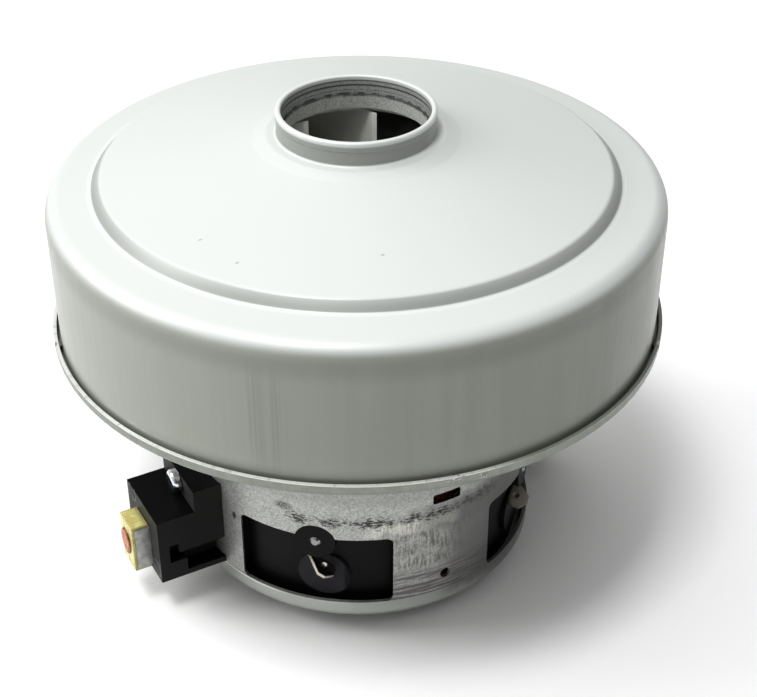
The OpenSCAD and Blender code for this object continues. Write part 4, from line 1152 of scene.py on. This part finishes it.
class MOTOR_OT_armature(bpy.types.Operator):
    """Winds the ends of the rotor, and finishes the shaft, rotor and commutator"""

    bl_idname = "motor.armature"
    bl_label = "Armature"

    def execute(self, context):
        size = context.scene.motor_size
        steps = 22
        path = [(2 * step / steps - 1, 0.0, 0.0) for step in range(steps + 1)]
        tree = end_turns_tree()
        for end, face, height in (("low", 0.0386, -0.0096), ("high", 0.0614, 0.0062)):
            sizes = {
                "Slots": 12,
                "Wires": size.rotor_wires,
                "Wire radius": size.rotor_wire,
                "Inner radius": 0.0102,
                "Outer radius": 0.0190,
                "Span": math.radians(70),
                "Face": face,
                "Height": height,
                "Material": FINISHES["wire"],
            }
            turns = grown(f"{end}_end_turns", line_mesh("crossing", path, False), tree, sizes)
            shown(f"{end}_end_turns", turns, "rotor", [])
        dress("steel", "shaft")
        dress("core", "rotor_core")
        dress("wire", "armature_winding")
        dress("fibre", "rotor_insulators")
        dress("copper", "commutator_bars")
        dress("resin", "commutator_hub")
        return {"FINISHED"}


class MOTOR_OT_field(bpy.types.Operator):
    """Winds the field coils, and finishes the stator core"""

    bl_idname = "motor.field"
    bl_label = "Field"

    def execute(self, context):
        size = context.scene.motor_size
        loop = flat_loop()
        tree = coil_tree()
        for end, side in (("front", 1.0), ("rear", -1.0)):
            sizes = {
                "Turns": size.coil_turns,
                "Layers": size.coil_layers,
                "Wire radius": size.coil_wire,
                "Inner radius": 0.0278,
                "Outer radius": 0.0325,
                "Eye angle": math.radians(35),
                "Outer angle": math.radians(80.5),
                "Middle": 0.050,
                "Half height": 0.0125,
                "End height": 0.0062,
                "Flare": 0.0034,
                "Bulge": 0.0020,
                "Side": side,
                "Material": FINISHES["wire"],
            }
            coil = grown(f"field_coil_{end}", line_mesh("loop", loop, True), tree, sizes)
            shown(f"wound_coil_{end}", coil, "housing", [f"field_coil_{end}"])
        dress("core", "stator_core")
        dress("fibre", "stator_insulators")
        return {"FINISHED"}


class MOTOR_OT_brush_gear(bpy.types.Operator):
    """Presses the welds, and finishes the brush holders and what is in them"""

    bl_idname = "motor.brush_gear"
    bl_label = "Brush gear"

    def execute(self, context):
        for side in ("left", "right"):
            dress("holder", f"{side}_brush_holder")
            dress("tube", f"{side}_brush_tube")
            dress("steel", f"{side}_brush_spring")
            dress("brass", f"{side}_brush_cap")
            dress("carbon", f"{side}_carbon_brush")
            dress("copper", f"{side}_brush_pigtail")
        dress("chrome", "holder_screws")
        pads = weld_pads("weld_pads", context.scene.motor_size.weld_thickness / MM)
        pads.materials.append(FINISHES["weld"])
        shown("pressed_welds", pads, "housing", ["pigtail_welds"])
        return {"FINISHED"}


class MOTOR_OT_terminals(bpy.types.Operator):
    """Finishes the terminal carriers, tabs and rivets"""

    bl_idname = "motor.terminals"
    bl_label = "Terminals"

    def execute(self, context):
        dress("carrier", "left_terminal_carrier", "right_terminal_carrier")
        dress("tab", "left_terminal_tab", "right_terminal_tab")
        dress("rivet", "terminal_rivets")
        return {"FINISHED"}


def studio_world(look):
    """A room that is bright behind and on the left, and dim in front and on the right."""
    world = bpy.data.worlds.new("studio")
    world.use_nodes = True
    wires = Wiring(world.node_tree)
    way = wires.node("ShaderNodeTexCoord").outputs["Object"]
    lean = wires.vector("DOT_PRODUCT", way, BRIGHT_SIDE)
    background = world.node_tree.nodes["Background"].inputs
    wires.feed(background["Color"], (1.0, 1.0, 1.0))
    wires.feed(background["Strength"], wires.ramp(lean, -0.1, 0.8, look.room_dark, look.room_light))
    return world


def floor_material(colour):
    """White where the camera or a reflection sees it; it throws less light back onto the motor."""
    material = bpy.data.materials.new("studio_floor")
    material.use_nodes = True
    wires = Wiring(material.node_tree)
    rays = wires.node("ShaderNodeLightPath").outputs
    seen = wires.math("ADD", rays["Is Camera Ray"], rays["Is Glossy Ray"])
    seen = wires.math("ADD", seen, rays["Is Transmission Ray"], clamp=True)
    shader = material.node_tree.nodes["Principled BSDF"].inputs
    wires.feed(shader["Base Color"], wires.blend(seen, (0.10, 0.10, 0.10), colour))
    wires.feed(shader["Roughness"], 1.0)
    wires.feed(shader["Specular IOR Level"], 0.0)
    return material


def wide_floor(colour):
    """A square floor just under the motor."""
    half = 3.0
    clearance = 0.0002
    level = CAD_BOX[0].z - clearance
    corners = [(-half, -half, level), (half, -half, level), (half, half, level), (-half, half, level)]
    mesh = bpy.data.meshes.new("floor")
    mesh.from_pydata(corners, [], [(0, 1, 2, 3)])
    mesh.materials.append(floor_material(colour))
    return bpy.data.objects.new("floor", mesh)


def soft_light(name, power, towards, distance, size):
    """A square soft light that looks at the motor from a direction, with its distance and size in metres."""
    middle = Vector((0.0, 0.0, 0.06))
    lamp = bpy.data.lights.new(name, "AREA")
    lamp.shape = "SQUARE"
    lamp.size = size
    lamp.energy = power
    holder = bpy.data.objects.new(name, lamp)
    holder.location = middle + Vector(towards).normalized() * distance
    holder.rotation_euler = (middle - holder.location).to_track_quat("-Z", "Y").to_euler()
    bpy.context.scene.collection.objects.link(holder)


def photo_camera():
    """The camera where the photographer's stood."""
    lens = bpy.data.cameras.new("camera")
    lens.lens = CAMERA_LENS
    lens.sensor_width = CAMERA_SENSOR
    lens.clip_start = 0.01
    camera = bpy.data.objects.new("camera", lens)
    right = CAMERA_FORWARD.cross(CAMERA_UP)
    turn = Matrix((right, CAMERA_UP, -CAMERA_FORWARD)).transposed()
    camera.matrix_world = Matrix.Translation(CAMERA_PLACE) @ turn.to_4x4()
    return camera


class MOTOR_OT_stage(bpy.types.Operator):
    """Sets up the floor, the light and the camera"""

    bl_idname = "motor.stage"
    bl_label = "Studio"

    def execute(self, context):
        scene = context.scene
        look = scene.studio_look
        floor = wide_floor(look.floor_colour)
        scene.collection.objects.link(floor)
        scene.world = studio_world(look)
        soft_light("overhead", look.overhead_power, towards=(0.0, 0.0, 1.0), distance=1.8, size=3.0)
        soft_light("key", look.key_power, towards=(-0.30, -0.15, 0.94), distance=2.5, size=0.6)
        soft_light("left", look.left_power, towards=(-0.72, 0.39, 0.57), distance=1.2, size=0.5)
        soft_light("right", look.right_power, towards=(0.73, -0.496, 0.47), distance=2.0, size=1.0)
        scene.camera = photo_camera()
        scene.collection.objects.link(scene.camera)
        scene.view_settings.view_transform = "Standard"
        return {"FINISHED"}


OPERATORS = (
    MOTOR_OT_finishes,
    MOTOR_OT_case,
    MOTOR_OT_fan,
    MOTOR_OT_bearings,
    MOTOR_OT_armature,
    MOTOR_OT_field,
    MOTOR_OT_brush_gear,
    MOTOR_OT_terminals,
    MOTOR_OT_stage,
)


class MOTOR_PT_sidebar(bpy.types.Panel):
    """Lists the values that a user would change and the steps"""

    bl_idname = "MOTOR_PT_sidebar"
    bl_label = "Motor unit"
    bl_space_type = "VIEW_3D"
    bl_region_type = "UI"
    bl_category = "Motor unit"

    def draw(self, context):
        scene = context.scene
        for group in (scene.motor_size, scene.motor_look, scene.studio_look):
            for name in group.__annotations__:
                self.layout.prop(group, name)
        for operator in OPERATORS:
            self.layout.operator(operator.bl_idname)


CLASSES = (MotorSize, MotorLook, StudioLook, *OPERATORS, MOTOR_PT_sidebar)


def register():
    for cls in CLASSES:
        bpy.utils.register_class(cls)
    bpy.types.Scene.motor_size = bpy.props.PointerProperty(type=MotorSize)
    bpy.types.Scene.motor_look = bpy.props.PointerProperty(type=MotorLook)
    bpy.types.Scene.studio_look = bpy.props.PointerProperty(type=StudioLook)


def unregister():
    del bpy.types.Scene.studio_look
    del bpy.types.Scene.motor_look
    del bpy.types.Scene.motor_size
    for cls in reversed(CLASSES):
        bpy.utils.unregister_class(cls)


def main():
    register()
    bpy.ops.motor.finishes()
    bpy.ops.motor.case()
    bpy.ops.motor.fan()
    bpy.ops.motor.bearings()
    bpy.ops.motor.armature()
    bpy.ops.motor.field()
    bpy.ops.motor.brush_gear()
    bpy.ops.motor.terminals()
    bpy.ops.motor.stage()


if __name__ == "__main__":
    main()
